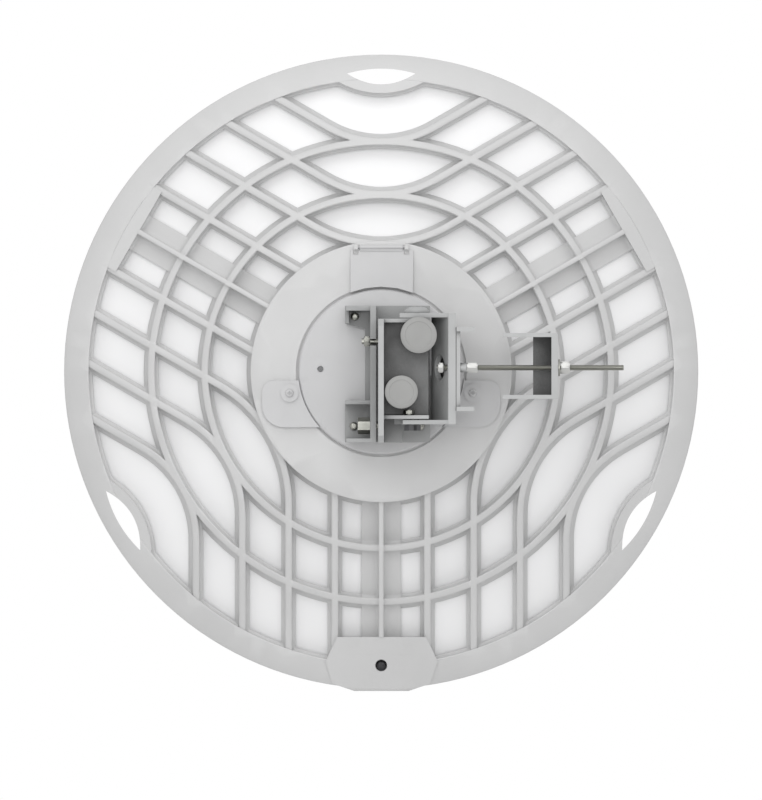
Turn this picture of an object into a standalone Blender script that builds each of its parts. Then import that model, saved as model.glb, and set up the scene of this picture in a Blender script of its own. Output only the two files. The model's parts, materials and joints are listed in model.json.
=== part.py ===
"""Outdoor point-to-point wireless bridge, modelled in metres.

A 650 mm dish on a moulded lattice back frame, with a round radio housing at its hub, a feed in
front of it, and a two-axis mount that clamps to a vertical mast. The origin is on the mast's axis at
the height of the clamp rods, +Z is up, and the dish looks along +Y. The mast itself isn't part of it.
"""

import math

import bmesh
import bpy
from mathutils import Matrix, Vector, geometry

MM = 0.001
FIT = 0.3 * MM  # gap left between two pieces that touch

# Driving dimensions
MAST_RADIUS = 36.5 * MM
DISH_X = -110 * MM  # the dish's axis, seen from the mast's axis
DISH_Z = -4 * MM
DISH_RADIUS = 325 * MM
FOCAL_LENGTH = 210 * MM
HUB_Y = 100 * MM  # the hub's flat back face
VERTEX_Y = 118 * MM  # back of the reflector on its own axis
SKIN = 1.5 * MM  # sheet thickness of the reflector
SKIN_GAP = 1.2 * MM  # lattice to reflector

# Lattice back frame, in the dish's own plan: u to the right and v up from the dish's axis
STRUT_ANGLES = [math.radians(angle) for angle in (30, 150, 270)]
SECTOR_ANGLES = [math.radians(angle) for angle in (90, 210, 330)]
RIB_PITCH = 47.5 * MM  # between ribs parallel to a strut
RIB_FILLETS = (129 * MM, 139 * MM, 112 * MM, 108 * MM, 86 * MM)  # over the middle of a sector
RIB_WIDTH = 7 * MM
RING_RADII = (181 * MM, 236 * MM)
RIM_INNER = 300 * MM
HUB_RADIUS = 134 * MM
HUB_BORE = 78.5 * MM
GROOVE_RADII = (84 * MM, 87.5 * MM)  # round the edge of the rear housing
SLOT_HALF = 35 * MM
FOOT_Y_STEP = 18 * MM

# Mount
ROD_Y = 41.5 * MM
ROD_RADIUS = 3 * MM
ROD_LEFT = -53 * MM
ROD_RIGHT = 138.6 * MM
AZIMUTH_AXIS = Vector((-73.5 * MM, 0, 0))
ELEVATION_AXIS = Vector((0, 45 * MM, -59.5 * MM))
ELEVATION_SCREW = (-71.6 * MM, 33.5 * MM)  # x and z of its axis
AZIMUTH_SCREW = (-89.3 * MM, -24.9 * MM)
LOCK_Z = 27 * MM
AZIMUTH_LOCK = Vector((-81.5 * MM, -35 * MM, 0))
ELEVATION_LIMIT = math.radians(10)
AZIMUTH_LIMIT = math.radians(8)
BOLT_HOLE = 3.4 * MM
HEX = 6
CURVE_STEPS = 4

# Port cover
COVER_LEFT, COVER_RIGHT = -31.6 * MM, 33 * MM
COVER_TOP = 124.6 * MM
COVER_BOTTOM_RADIUS = 87 * MM
COVER_HINGE = Vector((DISH_X, 97.4 * MM, DISH_Z + 127.6 * MM))

MATERIALS = {
    "frame_plastic": ((0.66, 0.66, 0.66), 0.55, 0.0),
    "reflector_metal": ((0.86, 0.86, 0.87), 0.35, 0.3),
    "housing_plastic": ((0.68, 0.68, 0.69), 0.5, 0.0),
    "cap_plastic": ((0.52, 0.53, 0.53), 0.5, 0.0),
    "bracket_paint": ((0.62, 0.63, 0.63), 0.45, 0.1),
    "plated_steel": ((0.6, 0.6, 0.58), 0.3, 0.9),
    "dark_steel": ((0.05, 0.05, 0.05), 0.4, 0.6),
    "cast_aluminium": ((0.6, 0.61, 0.62), 0.45, 0.9),
    "rubber": ((0.03, 0.03, 0.03), 0.8, 0.0),
    "board_green": ((0.03, 0.16, 0.06), 0.5, 0.0),
    "lens_smoke": ((0.04, 0.04, 0.05), 0.15, 0.0),
    "dielectric": ((0.85, 0.84, 0.8), 0.4, 0.0),
}

# Each moving body: its parent body and the point on its joint's axis
BODIES = {
    "root": (None, Vector((0, 0, 0))),
    "moving_jaw": ("root", Vector((64.5 * MM, 0, 0))),
    "carriage": ("root", AZIMUTH_AXIS),
    "azimuth_barrel": ("root", Vector((AZIMUTH_SCREW[0], 0, AZIMUTH_SCREW[1]))),
    "azimuth_knob": ("carriage", Vector((AZIMUTH_SCREW[0], -50 * MM, AZIMUTH_SCREW[1]))),
    "elevation_knob": ("carriage", Vector((ELEVATION_SCREW[0], -50 * MM, ELEVATION_SCREW[1]))),
    "dish_head": ("carriage", ELEVATION_AXIS + Vector((DISH_X, 0, 0))),
    "elevation_barrel": (
        "dish_head",
        Vector((ELEVATION_SCREW[0], ELEVATION_AXIS.y, ELEVATION_SCREW[1])),
    ),
    "port_cover": ("dish_head", COVER_HINGE),
    "reset_button": ("dish_head", Vector((DISH_X + 8 * MM, 117 * MM, DISH_Z + 103 * MM))),
}


# --- scene, materials and bodies ---------------------------------------------------------------


def clear_scene():
    for obj in list(bpy.data.objects):
        bpy.data.objects.remove(obj, do_unlink=True)


def make_material(name):
    colour, roughness, metallic = MATERIALS[name]
    material = bpy.data.materials.new(name)
    material.use_nodes = True
    shader = material.node_tree.nodes["Principled BSDF"]
    shader.inputs["Base Color"].default_value = (*colour, 1)
    shader.inputs["Roughness"].default_value = roughness
    shader.inputs["Metallic"].default_value = metallic
    return material


def make_pivots():
    pivots = {}
    for name, (parent, point) in BODIES.items():
        pivot = bpy.data.objects.new(name + "_pivot", None)
        bpy.context.collection.objects.link(pivot)
        if parent:
            pivot.parent = pivots[parent]
        pivot.location = point - (BODIES[parent][1] if parent else Vector())
        pivots[name] = pivot
    return pivots


def place(name, mesh_builder, body):
    """Object made from a bmesh in world coordinates, hung on its body's pivot."""
    mesh = bpy.data.meshes.new(name)
    bmesh.ops.recalc_face_normals(mesh_builder, faces=mesh_builder.faces)
    mesh_builder.to_mesh(mesh)
    mesh_builder.free()
    mesh.transform(Matrix.Translation(-BODIES[body][1]))
    obj = bpy.data.objects.new(name, mesh)
    bpy.context.collection.objects.link(obj)
    obj.parent = pivots[body]
    return obj


def add_piece(name, material, body, base, joined=(), cut=()):
    """One node: a base shape, with others joined to it and others cut from it."""
    obj = place(name, base, body)
    obj.data.materials.append(materials[material])
    steps = [("UNION", shape) for shape in joined] + [("DIFFERENCE", shape) for shape in cut]
    for number, (operation, shape) in enumerate(steps):
        helper = place(f"{name}_helper_{number}", shape, body)
        helper.hide_render = True
        helper.display_type = "WIRE"
        modifier = obj.modifiers.new(helper.name, "BOOLEAN")
        modifier.operation = operation
        modifier.object = helper
    obj.data.shade_smooth()
    obj.data.set_sharp_from_angle(angle=math.radians(35))
    return obj


# --- plan outlines -----------------------------------------------------------------------------


def circle(centre, radius, steps=12, turn=0.0):
    angles = [turn + 2 * math.pi * step / steps for step in range(steps)]
    return [(centre[0] + radius * math.cos(a), centre[1] + radius * math.sin(a)) for a in angles]


def rectangle(left, right, bottom, top):
    return [(left, bottom), (right, bottom), (right, top), (left, top)]


def mirrored(half):
    """A closed outline from its upper half, listed from one end to the other."""
    return half + [(a, -b) for a, b in reversed(half)]


def arc_slot(centre, start, swing, half_width, steps=6):
    """A slot for a bolt at start, when the bolt swings that far either way round centre."""
    radius = math.dist(centre, start)
    half_angle = swing + 1.2 * half_width / radius
    middle = math.atan2(start[1] - centre[1], start[0] - centre[0])
    angles = [middle + half_angle * (2 * step / steps - 1) for step in range(steps + 1)]

    def at(distance, angle):
        return (centre[0] + distance * math.cos(angle), centre[1] + distance * math.sin(angle))

    outer = [at(radius + half_width, angle) for angle in angles]
    inner = [at(radius - half_width, angle) for angle in reversed(angles)]
    return outer + inner


def ribbon(points, width):
    """The outline of an open line of constant width."""
    left, right = [], []
    for index, point in enumerate(points):
        before = points[max(index - 1, 0)]
        after = points[min(index + 1, len(points) - 1)]
        along = Vector((after[0] - before[0], after[1] - before[1])).normalized()
        left.append((point[0] - along.y * width / 2, point[1] + along.x * width / 2))
        right.append((point[0] + along.y * width / 2, point[1] - along.x * width / 2))
    return right + left[::-1]


def turned_plan(points, angle):
    """Plan points given with their sector's middle along +v, turned to point along angle."""
    cosine, sine = math.cos(angle), math.sin(angle)
    return [(x * sine + y * cosine, -x * cosine + y * sine) for x, y in points]


def rib_bend(number, radius, sweep):
    """The rounded middle of rib number k, over its sector's middle."""
    apex = number * RIB_PITCH / math.sin(math.radians(60))
    centre = apex + RIB_FILLETS[number - 1] / math.sin(math.radians(60))
    turns = [sweep * step / CURVE_STEPS for step in range(-CURVE_STEPS, CURVE_STEPS + 1)]
    return [(radius * math.sin(t), centre - radius * math.cos(t)) for t in turns]


def sector_rib(number):
    """Rib number k: parallel to the two struts of its sector, rounded over the middle."""
    apex = number * RIB_PITCH / math.sin(math.radians(60))
    fillet = RIB_FILLETS[number - 1]
    bend = rib_bend(number, fillet, math.radians(30))
    reach = RIM_INNER + 8 * MM
    arm = (math.sqrt(4 * reach**2 - 3 * apex**2) - apex) / 2
    middle_of_arm = (arm + fillet / math.tan(math.radians(60))) / 2
    ends = []
    for length in (middle_of_arm, arm):
        ends.append((length * math.sin(math.radians(60)), apex + length / 2))
    return [(-x, y) for x, y in reversed(ends)] + bend + ends


def strut_outline(angle, near, far, half_width, steps=1):
    """A rectangle along a strut, with its two cross edges divided into that many steps."""
    across = [half_width * (2 * step / steps - 1) for step in range(steps + 1)]
    corners = [(u, near) for u in across] + [(u, far) for u in reversed(across)]
    return turned_plan(corners, angle)


def rim_bulge():
    """Where the rim widens inwards behind a slot."""
    inner = rib_bend(5, RIB_FILLETS[4] + 2 * MM, math.radians(36))
    inner = [point for point in inner if math.hypot(*point) < RIM_INNER + 8 * MM]
    return inner + [(0, RIM_INNER + 12 * MM)]


def slot_outline(margin=0.0):
    """Lens-shaped slot through the rim, pointed at both ends."""
    ends = SLOT_HALF + margin
    outer_top, inner_top, end_height = 310.5 * MM + margin, 294.5 * MM - margin, 305.5 * MM
    steps = [step / 4 for step in range(-4, 5)]
    outer = [(ends * s, end_height + (outer_top - end_height) * (1 - s * s)) for s in steps]
    inner = [(ends * s, end_height + (inner_top - end_height) * (1 - s * s)) for s in steps[1:-1]]
    return outer + inner[::-1]


# --- solids ------------------------------------------------------------------------------------


def bowl(u, v):
    """Back surface of the reflector."""
    return VERTEX_Y + (u * u + v * v) / (4 * FOCAL_LENGTH)


def counter_clockwise(points):
    area = sum(a[0] * b[1] - b[0] * a[1] for a, b in zip(points, points[1:] + points[:1]))
    return points if area > 0 else points[::-1]


def layered(loops, surfaces, to_world):
    """A closed solid over a plan: loops are (tag, outline) pairs, and surfaces(tags) gives the pair
    of functions for its low and high side where those outlines overlap, or None where it is open."""
    points, faces = [], []
    for _, outline in loops:
        outline = counter_clockwise(outline)
        faces.append(list(range(len(points), len(points) + len(outline))))
        points += [Vector(point) for point in outline]
    plan, _, cells, _, _, owners = geometry.delaunay_2d_cdt(points, [], faces, 1, 1e-6)

    sides = {}
    for index, cell in enumerate(cells):
        pair = surfaces({loops[owner][0] for owner in owners[index]})
        if pair:
            sides[index] = [{v: side(*plan[v]) for v in cell} for side in pair]

    levels, edges = {}, {}
    for index, (low, high) in sides.items():
        cell = cells[index]
        for v in cell:
            levels.setdefault(v, set()).update((low[v], high[v]))
        for a, b in zip(cell, cell[1:] + cell[:1]):
            edges.setdefault(frozenset((a, b)), []).append(index)

    builder = bmesh.new()
    made = {}

    def vertex(v, height):
        key = (v, round(height * 1e7))
        if key not in made:
            made[key] = builder.verts.new(to_world(plan[v][0], plan[v][1], height))
        return made[key]

    def column(v, start, end):
        """The vertices up or down the plan point v between two heights."""
        low, high = min(start, end), max(start, end)
        heights = sorted(h for h in levels[v] if low - 1e-9 <= h <= high + 1e-9)
        return [vertex(v, h) for h in (heights if start <= end else heights[::-1])]

    def wall(a, b, one, other):
        corners = column(a, one[a], other[a]) + column(b, other[b], one[b])
        corners = list(dict.fromkeys(corners))
        if len(corners) > 2:
            builder.faces.new(corners)

    for index, (low, high) in sides.items():
        builder.faces.new([vertex(v, low[v]) for v in cells[index]])
        builder.faces.new([vertex(v, high[v]) for v in cells[index]])
    for edge, users in edges.items():
        a, b = edge
        first = sides[users[0]]
        if len(users) == 1:
            wall(a, b, first[0], first[1])
            continue
        second = sides[users[1]]
        for one, other in zip(first, second):
            if abs(one[a] - other[a]) > 1e-7 or abs(one[b] - other[b]) > 1e-7:
                wall(a, b, one, other)
    return builder


def along(axis):
    """Turns (a, b, height) into a world point for a plate that is thick along that axis."""
    if axis == "x":
        return lambda a, b, height: (height, a, b)
    if axis == "y":
        return lambda a, b, height: (a, height, b)
    return lambda a, b, height: (a, b, height)


def plate(axis, low, high, outline, holes=()):
    """A flat plate. Its outline is in (y, z), (x, z) or (x, y) for the axis x, y or z."""
    loops = [("plate", outline)] + [("hole", hole) for hole in holes]

    def surfaces(tags):
        return None if "hole" in tags else (lambda a, b: low, lambda a, b: high)

    return layered(loops, surfaces, along(axis))


def turned(axis, centre, profile, steps=24):
    """A turned solid. The profile is (radius, height along the axis) and closes on itself, or on
    the axis where its first and last radius are 0."""
    builder = bmesh.new()
    to_world = along(axis)
    rings = []
    for radius, height in profile:
        count = steps if radius > 0 else 1
        ring = circle(centre, radius, count, turn=math.pi / steps)
        rings.append([builder.verts.new(to_world(a, b, height)) for a, b in ring])
    pairs = list(zip(rings, rings[1:]))
    if profile[0][0] > 0:
        pairs.append((rings[-1], rings[0]))
    for lower, upper in pairs:
        for step in range(steps):
            following = (step + 1) % steps
            corners = [lower[step % len(lower)], lower[following % len(lower)]]
            corners += [upper[following % len(upper)], upper[step % len(upper)]]
            builder.faces.new(list(dict.fromkeys(corners)))
    return builder


def rod(axis, centre, radius, low, high, steps=12):
    return turned(axis, centre, [(0, low), (radius, low), (radius, high), (0, high)], steps)


def tube(axis, centre, inner, outer, low, high, steps=24):
    profile = [(outer, low), (outer, high), (inner, high), (inner, low)]
    return turned(axis, centre, profile, steps)


def nut(axis, centre, radius, bore, low, high):
    return plate(axis, low, high, circle(centre, radius, HEX), [circle(centre, bore)])


def bolt(axis, centre, shank, tip, head, head_radius, steps=HEX):
    """A bolt whose head runs from head[0] to head[1] and whose shank leaves it at head[1]."""
    profile = [(0, head[0]), (head_radius, head[0]), (head_radius, head[1])]
    profile += [(shank, head[1]), (shank, tip), (0, tip)]
    return turned(axis, centre, profile, steps)


def dish_plan(u, v, height):
    return (DISH_X + u, height, DISH_Z + v)


# --- dish and feed -----------------------------------------------------------------------------

HOUSING_RADIUS = 85 * MM
HOUSING_FRONT = HUB_Y - FIT
EAR_BOSS = (94 * MM, -22 * MM)
EAR_LEVEL = HUB_Y - 5.5 * MM
BOSS_LEVEL = HUB_Y - 7.5 * MM
PAD_LEVEL = HUB_Y - 12.7 * MM
PAD_FRONT = HUB_Y - 5.5 * MM
SCREW_HOLE = 2.3 * MM
BRACKET_SCREWS = [(-27, 56.5), (40, 54), (-28, -56), (40, -56)]  # u and v in mm
FOOT_HOLE = (0, -301.2 * MM)
BAY = rectangle(-27 * MM, 27 * MM, 90 * MM, 119 * MM)
BAY_FLOOR = HUB_Y + 20 * MM
BUTTON = (8 * MM, 103 * MM)


def add_reflector():
    loops = [("skin", circle((0, 0), 318 * MM, 48))]
    loops += [("level", circle((0, 0), radius * MM, 32)) for radius in (270, 220, 170, 125, 90)]
    loops += [("open", circle((0, 0), 66 * MM, 28))]
    loops += [("open", turned_plan(slot_outline(1.5 * MM), a)) for a in SECTOR_ANGLES]

    def surfaces(tags):
        return None if "open" in tags else (bowl, lambda u, v: bowl(u, v) + SKIN)

    add_piece("reflector", "reflector_metal", "dish_head", layered(loops, surfaces, dish_plan))


def frame_loops():
    """Every outline of the lattice back frame, in its plan."""
    loops = [("outline", circle((0, 0), DISH_RADIUS, 60))]
    foot = [(-50 * MM, -320 * MM), (-27.5 * MM, -327.4 * MM), (28 * MM, -327.4 * MM)]
    foot += [(50 * MM, -320 * MM), (58 * MM, -297 * MM), (46 * MM, -272 * MM)]
    loops += [("foot", foot + [(-45 * MM, -272 * MM), (-57 * MM, -297 * MM)])]
    loops += [("rim_inner", circle((0, 0), RIM_INNER, 48))]
    for radius in RING_RADII:
        loops.append((f"ring_{radius}", circle((0, 0), radius + RIB_WIDTH / 2, 36)))
        loops.append((f"inside_{radius}", circle((0, 0), radius - RIB_WIDTH / 2, 36)))
    for angle in SECTOR_ANGLES:
        for number in (1, 2, 3, 4):
            rib = turned_plan(sector_rib(number), angle)
            loops.append(("rib", ribbon(rib, RIB_WIDTH)))
        loops.append(("bulge", turned_plan(rim_bulge(), angle)))
        loops.append(("open", turned_plan(slot_outline(), angle)))
    for angle in STRUT_ANGLES:
        loops.append(("bulge", strut_outline(angle, 287 * MM, 306 * MM, RIB_PITCH, 4)))
        loops.append(("blade", strut_outline(angle, 126 * MM, 292 * MM, 2.6 * MM)))
        loops.append(("flank", strut_outline(angle, 128 * MM, 290 * MM, 20 * MM)))
    loops.append(("hub", circle((0, 0), HUB_RADIUS, 40)))
    loops.append(("open", circle((0, 0), HUB_BORE, 28)))
    loops.append(("groove", circle((0, 0), GROOVE_RADII[1], 36)))
    loops.append(("groove_core", circle((0, 0), GROOVE_RADII[0], 36)))
    loops.append(("bay", BAY))
    for side in (-1, 1):
        loops.append(("open", circle((side * EAR_BOSS[0], EAR_BOSS[1]), SCREW_HOLE, 8)))
        lug = rectangle(-2 * MM, 2 * MM, 125.2 * MM, 130.5 * MM)
        loops.append(("lug", [(u + side * 26 * MM, v) for u, v in lug]))
    loops.append(("button_guide", circle(BUTTON, 4.2 * MM, 8)))
    loops.append(("button_well", circle(BUTTON, 2.7 * MM, 8)))
    loops.append(("counterbore", circle(FOOT_HOLE, 6.2 * MM, 16)))
    loops.append(("open", circle(FOOT_HOLE, 2.6 * MM, 8)))
    return loops


def rib_back(u, v):
    """Ribs are tall by the hub and low by the rim."""
    share = (math.hypot(u, v) - HUB_RADIUS) / (RIM_INNER - HUB_RADIUS)
    return bowl(u, v) - SKIN_GAP - (26 - 13 * share) * MM


def blade_back(u, v):
    share = (math.hypot(u, v) - HUB_RADIUS) / (RIM_INNER - HUB_RADIUS)
    return bowl(u, v) - SKIN_GAP - (31 - 11 * share) * MM


def add_rib_frame():
    def front(u, v):
        return bowl(u, v) - SKIN_GAP

    def flat(y):
        return lambda u, v: y

    def raised(height):
        return lambda u, v: front(u, v) - height

    backs = [
        ("counterbore", flat(212 * MM)),
        ("button_well", flat(BAY_FLOOR)),
        ("button_guide", flat(BAY_FLOOR - 3.5 * MM)),
        ("bay", flat(BAY_FLOOR)),
        ("lug", flat(HUB_Y - 6 * MM)),
        ("groove_floor", flat(HUB_Y + 4 * MM)),
        ("hub", flat(HUB_Y)),
        ("foot", raised(FOOT_Y_STEP)),
        ("rim", raised(15 * MM)),
        ("bulge", raised(15 * MM)),
        ("blade", blade_back),
        ("rib", rib_back),
        ("flank", raised(5 * MM)),
    ]

    def surfaces(tags):
        if "open" in tags or not tags & {"outline", "foot"}:
            return None
        found = set(tags)
        if "outline" in tags and "rim_inner" not in tags:
            found.add("rim")
        if "groove" in tags and "groove_core" not in tags:
            found.add("groove_floor")
        for radius in RING_RADII:
            if f"ring_{radius}" in tags and f"inside_{radius}" not in tags:
                found.add("rib")
        for name, back in backs:
            if name in found:
                return back, front
        return None

    frame = layered(frame_loops(), surfaces, dish_plan)
    hinge = (COVER_HINGE.y, COVER_HINGE.z)
    pin_bore = rod("x", hinge, 1.3 * MM, DISH_X - 26.5 * MM, DISH_X + 26.5 * MM, 8)
    add_piece("rib_frame", "frame_plastic", "dish_head", frame, cut=[pin_bore])


def dome(u, v):
    return HUB_Y - 12 * MM + 7 * MM * (u * u + v * v) / HOUSING_RADIUS**2


def add_rear_housing():
    loops = [("disc", circle((0, 0), HOUSING_RADIUS, 36)), ("inside", circle((0, 0), 74.5 * MM, 24))]
    loops += [("level", circle((0, 0), 40 * MM, 20))]
    for side in (-1, 1):
        ear = [(70, -9), (104, -9), (117, -16), (122, -28), (120, -42), (110, -53), (96, -57), (60, -57)]
        loops.append(("ear", [(side * u * MM, v * MM) for u, v in ear]))
        boss = (side * EAR_BOSS[0], EAR_BOSS[1])
        loops.append(("boss", circle(boss, 9.2 * MM, 12)))
        loops.append(("open", circle(boss, SCREW_HOLE, 8)))
    for u, v in BRACKET_SCREWS:
        loops.append(("pad", circle((u * MM, v * MM), 8 * MM, 12)))
        loops.append(("open", circle((u * MM, v * MM), 2.6 * MM, 8)))
    loops.append(("open", circle((-62.3 * MM, 2.7 * MM), 3.2 * MM, 10)))

    def surfaces(tags):
        if "open" in tags:
            return None
        if "pad" in tags:
            back = PAD_LEVEL
        elif "disc" in tags:
            back = None
        else:
            back = BOSS_LEVEL if "boss" in tags else EAR_LEVEL
        hollow = "inside" in tags and "pad" not in tags
        front = PAD_FRONT if "inside" in tags else HOUSING_FRONT
        return (
            dome if back is None else lambda u, v: back,
            (lambda u, v: dome(u, v) + 3 * MM) if hollow else (lambda u, v: front),
        )

    shell = layered(loops, surfaces, dish_plan)
    add_piece("rear_housing", "housing_plastic", "dish_head", shell)


def add_radio():
    axis = (DISH_X, DISH_Z)
    body = "dish_head"
    gasket = tube("y", axis, 70 * MM, 73.6 * MM, 97 * MM, 101.2 * MM, 24)
    add_piece("housing_gasket", "rubber", body, gasket)
    cup = [(76.5, 101.5), (76.5, 104.5), (60, 104.5), (60, 131.5), (10.5, 131.5), (10.5, 127.5)]
    cup += [(56, 127.5), (56, 101.5)]
    cup = [(radius * MM, y * MM) for radius, y in cup]
    add_piece("radio_chassis", "cast_aluminium", body, turned("y", axis, cup, 24))
    board = rod("y", axis, 54.5 * MM, 106 * MM, 107.6 * MM, 24)
    add_piece("main_board", "board_green", body, board)
    module = rectangle(DISH_X - 16 * MM, DISH_X + 16 * MM, DISH_Z - 16 * MM, DISH_Z + 16 * MM)
    add_piece("rf_module", "cast_aluminium", body, plate("y", 109 * MM, 118.5 * MM, module))
    lens = rod("y", (DISH_X - 62.3 * MM, DISH_Z + 2.7 * MM), 2.8 * MM, 91 * MM, 96 * MM, 10)
    add_piece("status_light", "lens_smoke", body, lens)


def add_ports():
    body = "dish_head"
    left, bottom = DISH_X - 20 * MM, DISH_Z + 96 * MM
    front = BAY_FLOOR - FIT
    jack = plate("y", 105 * MM, front, rectangle(left, left + 16 * MM, bottom, bottom + 14 * MM))
    socket = rectangle(left + 2 * MM, left + 14 * MM, bottom + 3 * MM, bottom + 11.5 * MM)
    opening = plate("y", 100 * MM, 117 * MM, socket)
    add_piece("ethernet_jack", "cast_aluminium", body, jack, cut=[opening])
    grommet = rectangle(DISH_X - 7 * MM, DISH_X + 7 * MM, DISH_Z + 90.4 * MM, DISH_Z + 95.4 * MM)
    hole = circle((DISH_X, DISH_Z + 92.9 * MM), 1.6 * MM, 8)
    add_piece("cable_grommet", "rubber", body, plate("y", 104 * MM, front, grommet, [hole]))
    ground = [(0, 114), (4, 114), (4, 117), (2, 117), (2, 119.7), (0, 119.7)]
    ground = [(radius * MM, y * MM) for radius, y in ground]
    centre = (DISH_X + 19.5 * MM, DISH_Z + 103 * MM)
    add_piece("ground_screw", "plated_steel", body, turned("y", centre, ground, 10))
    button = rod("y", (DISH_X + BUTTON[0], DISH_Z + BUTTON[1]), 2.2 * MM, 114 * MM, 119 * MM, 8)
    add_piece("reset_button", "rubber", "reset_button", button)


def add_port_cover():
    half = [math.radians(90 + angle) for angle in (-22, -11, 0, 11, 21.3)]
    bottom = [(COVER_BOTTOM_RADIUS * math.cos(a), COVER_BOTTOM_RADIUS * math.sin(a)) for a in half]
    notch, near, far = 120 * MM, 23.4 * MM, 28.6 * MM  # clears the hub's lugs as it swings
    top = [(far, COVER_TOP), (far, notch), (near, notch), (near, COVER_TOP)]
    top += [(-u, v) for u, v in reversed(top)]
    outline = [(COVER_RIGHT, COVER_TOP), *top, (COVER_LEFT, COVER_TOP), *bottom[::-1]]

    def back(u, v):
        """Flush at the hinge, and proud of the hub at its lower edge."""
        return HUB_Y - 2.5 * MM - (COVER_TOP - v) * 0.1

    def surfaces(tags):
        return back, lambda u, v: HOUSING_FRONT

    leaf = layered([("leaf", outline)], surfaces, dish_plan)
    centre = (COVER_HINGE.y, COVER_HINGE.z)
    left, right = DISH_X - 22 * MM, DISH_X + 22 * MM
    knuckle = rod("x", centre, 2.3 * MM, left, right, 12)
    tab = plate("x", left, right, rectangle(96.4 * MM, 98.8 * MM, DISH_Z + 0.1235, COVER_HINGE.z))
    pin_bore = rod("x", centre, 1.4 * MM, left - MM, right + MM, 10)
    add_piece("port_cover", "housing_plastic", "port_cover", leaf, [knuckle, tab], [pin_bore])
    pin = rod("x", centre, MM, DISH_X - 26.2 * MM, DISH_X + 26.2 * MM, 8)
    add_piece("port_cover_pin", "plated_steel", "dish_head", pin)


def add_feed():
    axis = (DISH_X, DISH_Z)
    body = "dish_head"

    def profile(points):
        return [(radius * MM, y * MM) for radius, y in points]

    shell = [(80, 128.4), (79, 133), (50, 144), (20, 156), (12.5, 156), (12.5, 153), (19, 153)]
    shell += [(49, 141), (76, 131), (76, 128.4)]
    add_piece("front_housing", "housing_plastic", body, turned("y", axis, profile(shell), 28))
    guide = tube("y", axis, 7 * MM, 9.5 * MM, 119 * MM, 300 * MM, 16)
    add_piece("feed_tube", "cast_aluminium", body, guide)
    cone = [(0, 290), (6.5, 290), (6.5, 300.4), (10, 300.4), (27, 319), (0, 319)]
    add_piece("feed_cone", "dielectric", body, turned("y", axis, profile(cone), 24))
    disc = rod("y", axis, 29 * MM, 319.4 * MM, 322.4 * MM, 24)
    add_piece("sub_reflector", "cast_aluminium", body, disc)
    cap = [(0, 326.5), (31, 326.5), (33.5, 324.5), (33.5, 296), (30.5, 296), (30.5, 324), (0, 324)]
    add_piece("feed_cap", "dielectric", body, turned("y", axis, profile(cap), 24))


def add_dish_screws():
    body = "dish_head"
    for side, word in ((-1, "left"), (1, "right")):
        centre = (DISH_X + side * EAR_BOSS[0], DISH_Z + EAR_BOSS[1])
        head = (BOSS_LEVEL - 2.8 * MM, BOSS_LEVEL - FIT)
        screw = bolt("y", centre, 1.8 * MM, HUB_Y + 10 * MM, head, 4.2 * MM, 10)
        add_piece(f"housing_screw_{word}", "plated_steel", body, screw)
    for number, (u, v) in enumerate(BRACKET_SCREWS, start=1):
        centre = (DISH_X + u * MM, DISH_Z + v * MM)
        head = (PLATE_BACK - 3.4 * MM, PLATE_BACK - FIT)
        screw = bolt("y", centre, 2.1 * MM, 96 * MM, head, 4.4 * MM, 10)
        add_piece(f"bracket_screw_{number}", "plated_steel", body, screw)
    centre = (DISH_X + FOOT_HOLE[0], DISH_Z + FOOT_HOLE[1])
    screw = bolt("y", centre, 2.2 * MM, 222 * MM, (208.6 * MM, 211.7 * MM), 5.6 * MM, 12)
    add_piece("foot_screw", "dark_steel", body, screw)


# --- hub bracket and its swivelling nut --------------------------------------------------------

PLATE_BACK, PLATE_FRONT = 83 * MM, 87 * MM
WEB_LEFT, WEB_RIGHT = -121.2 * MM, -115.2 * MM
BRACKET_TOP, BRACKET_BOTTOM = 63.5 * MM, -76.5 * MM
TRUNNION = 3.4 * MM
TRUNNION_HOLE = 3.9 * MM


def add_hub_bracket():
    clearance = circle(ELEVATION_SCREW, 9 * MM, 16)
    holes = [circle((DISH_X + u * MM, DISH_Z + v * MM), 2.6 * MM, 8) for u, v in BRACKET_SCREWS]
    back = [(-60, -76.5), (-60, 63.5), (-147, 63.5), (-147, 45), (-126.5, 40), (-126.5, -33.5)]
    back = [(x * MM, z * MM) for x, z in [*back, (-147, -33.5), (-147, -76.5)]]
    back_plate = plate("y", PLATE_BACK, PLATE_FRONT, back, holes + [clearance])
    pivot = (ELEVATION_AXIS.y, ELEVATION_AXIS.z)
    slot = arc_slot(pivot, (ELEVATION_AXIS.y, LOCK_Z), ELEVATION_LIMIT, BOLT_HOLE)
    web_outline = rectangle(32 * MM, 85 * MM, BRACKET_BOTTOM, BRACKET_TOP)
    web = plate("x", WEB_LEFT, WEB_RIGHT, web_outline, [slot, circle(pivot, 4.4 * MM, 12)])

    def shelf(left, bottom, top, nearest):
        outline = rectangle(left, WEB_LEFT + 2 * MM, bottom, top)
        return plate("y", nearest, 85 * MM, outline)

    shelves = [
        shelf(-146 * MM, 58.5 * MM, BRACKET_TOP, 40 * MM),
        shelf(-147 * MM, -37.5 * MM, -33.5 * MM, 50 * MM),
        shelf(-146 * MM, BRACKET_BOTTOM, -72.5 * MM, 32 * MM),
    ]
    end_wall = plate("y", 55 * MM, 85 * MM, rectangle(-146.5 * MM, -143 * MM, 45.5 * MM, 62 * MM))
    x, z = ELEVATION_SCREW
    cheek = rectangle(37.5 * MM, 85 * MM, z - 7.5 * MM, z + 7.5 * MM)
    hole = circle((ELEVATION_AXIS.y, z), TRUNNION_HOLE, 12)
    cheeks = [
        plate("x", x + side * 10 * MM - 2 * MM, x + side * 10 * MM + 2 * MM, cheek, [hole])
        for side in (-1, 1)
    ]
    parts = [back_plate, *shelves, end_wall, *cheeks]
    add_piece("hub_bracket", "bracket_paint", "dish_head", web, parts)


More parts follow.
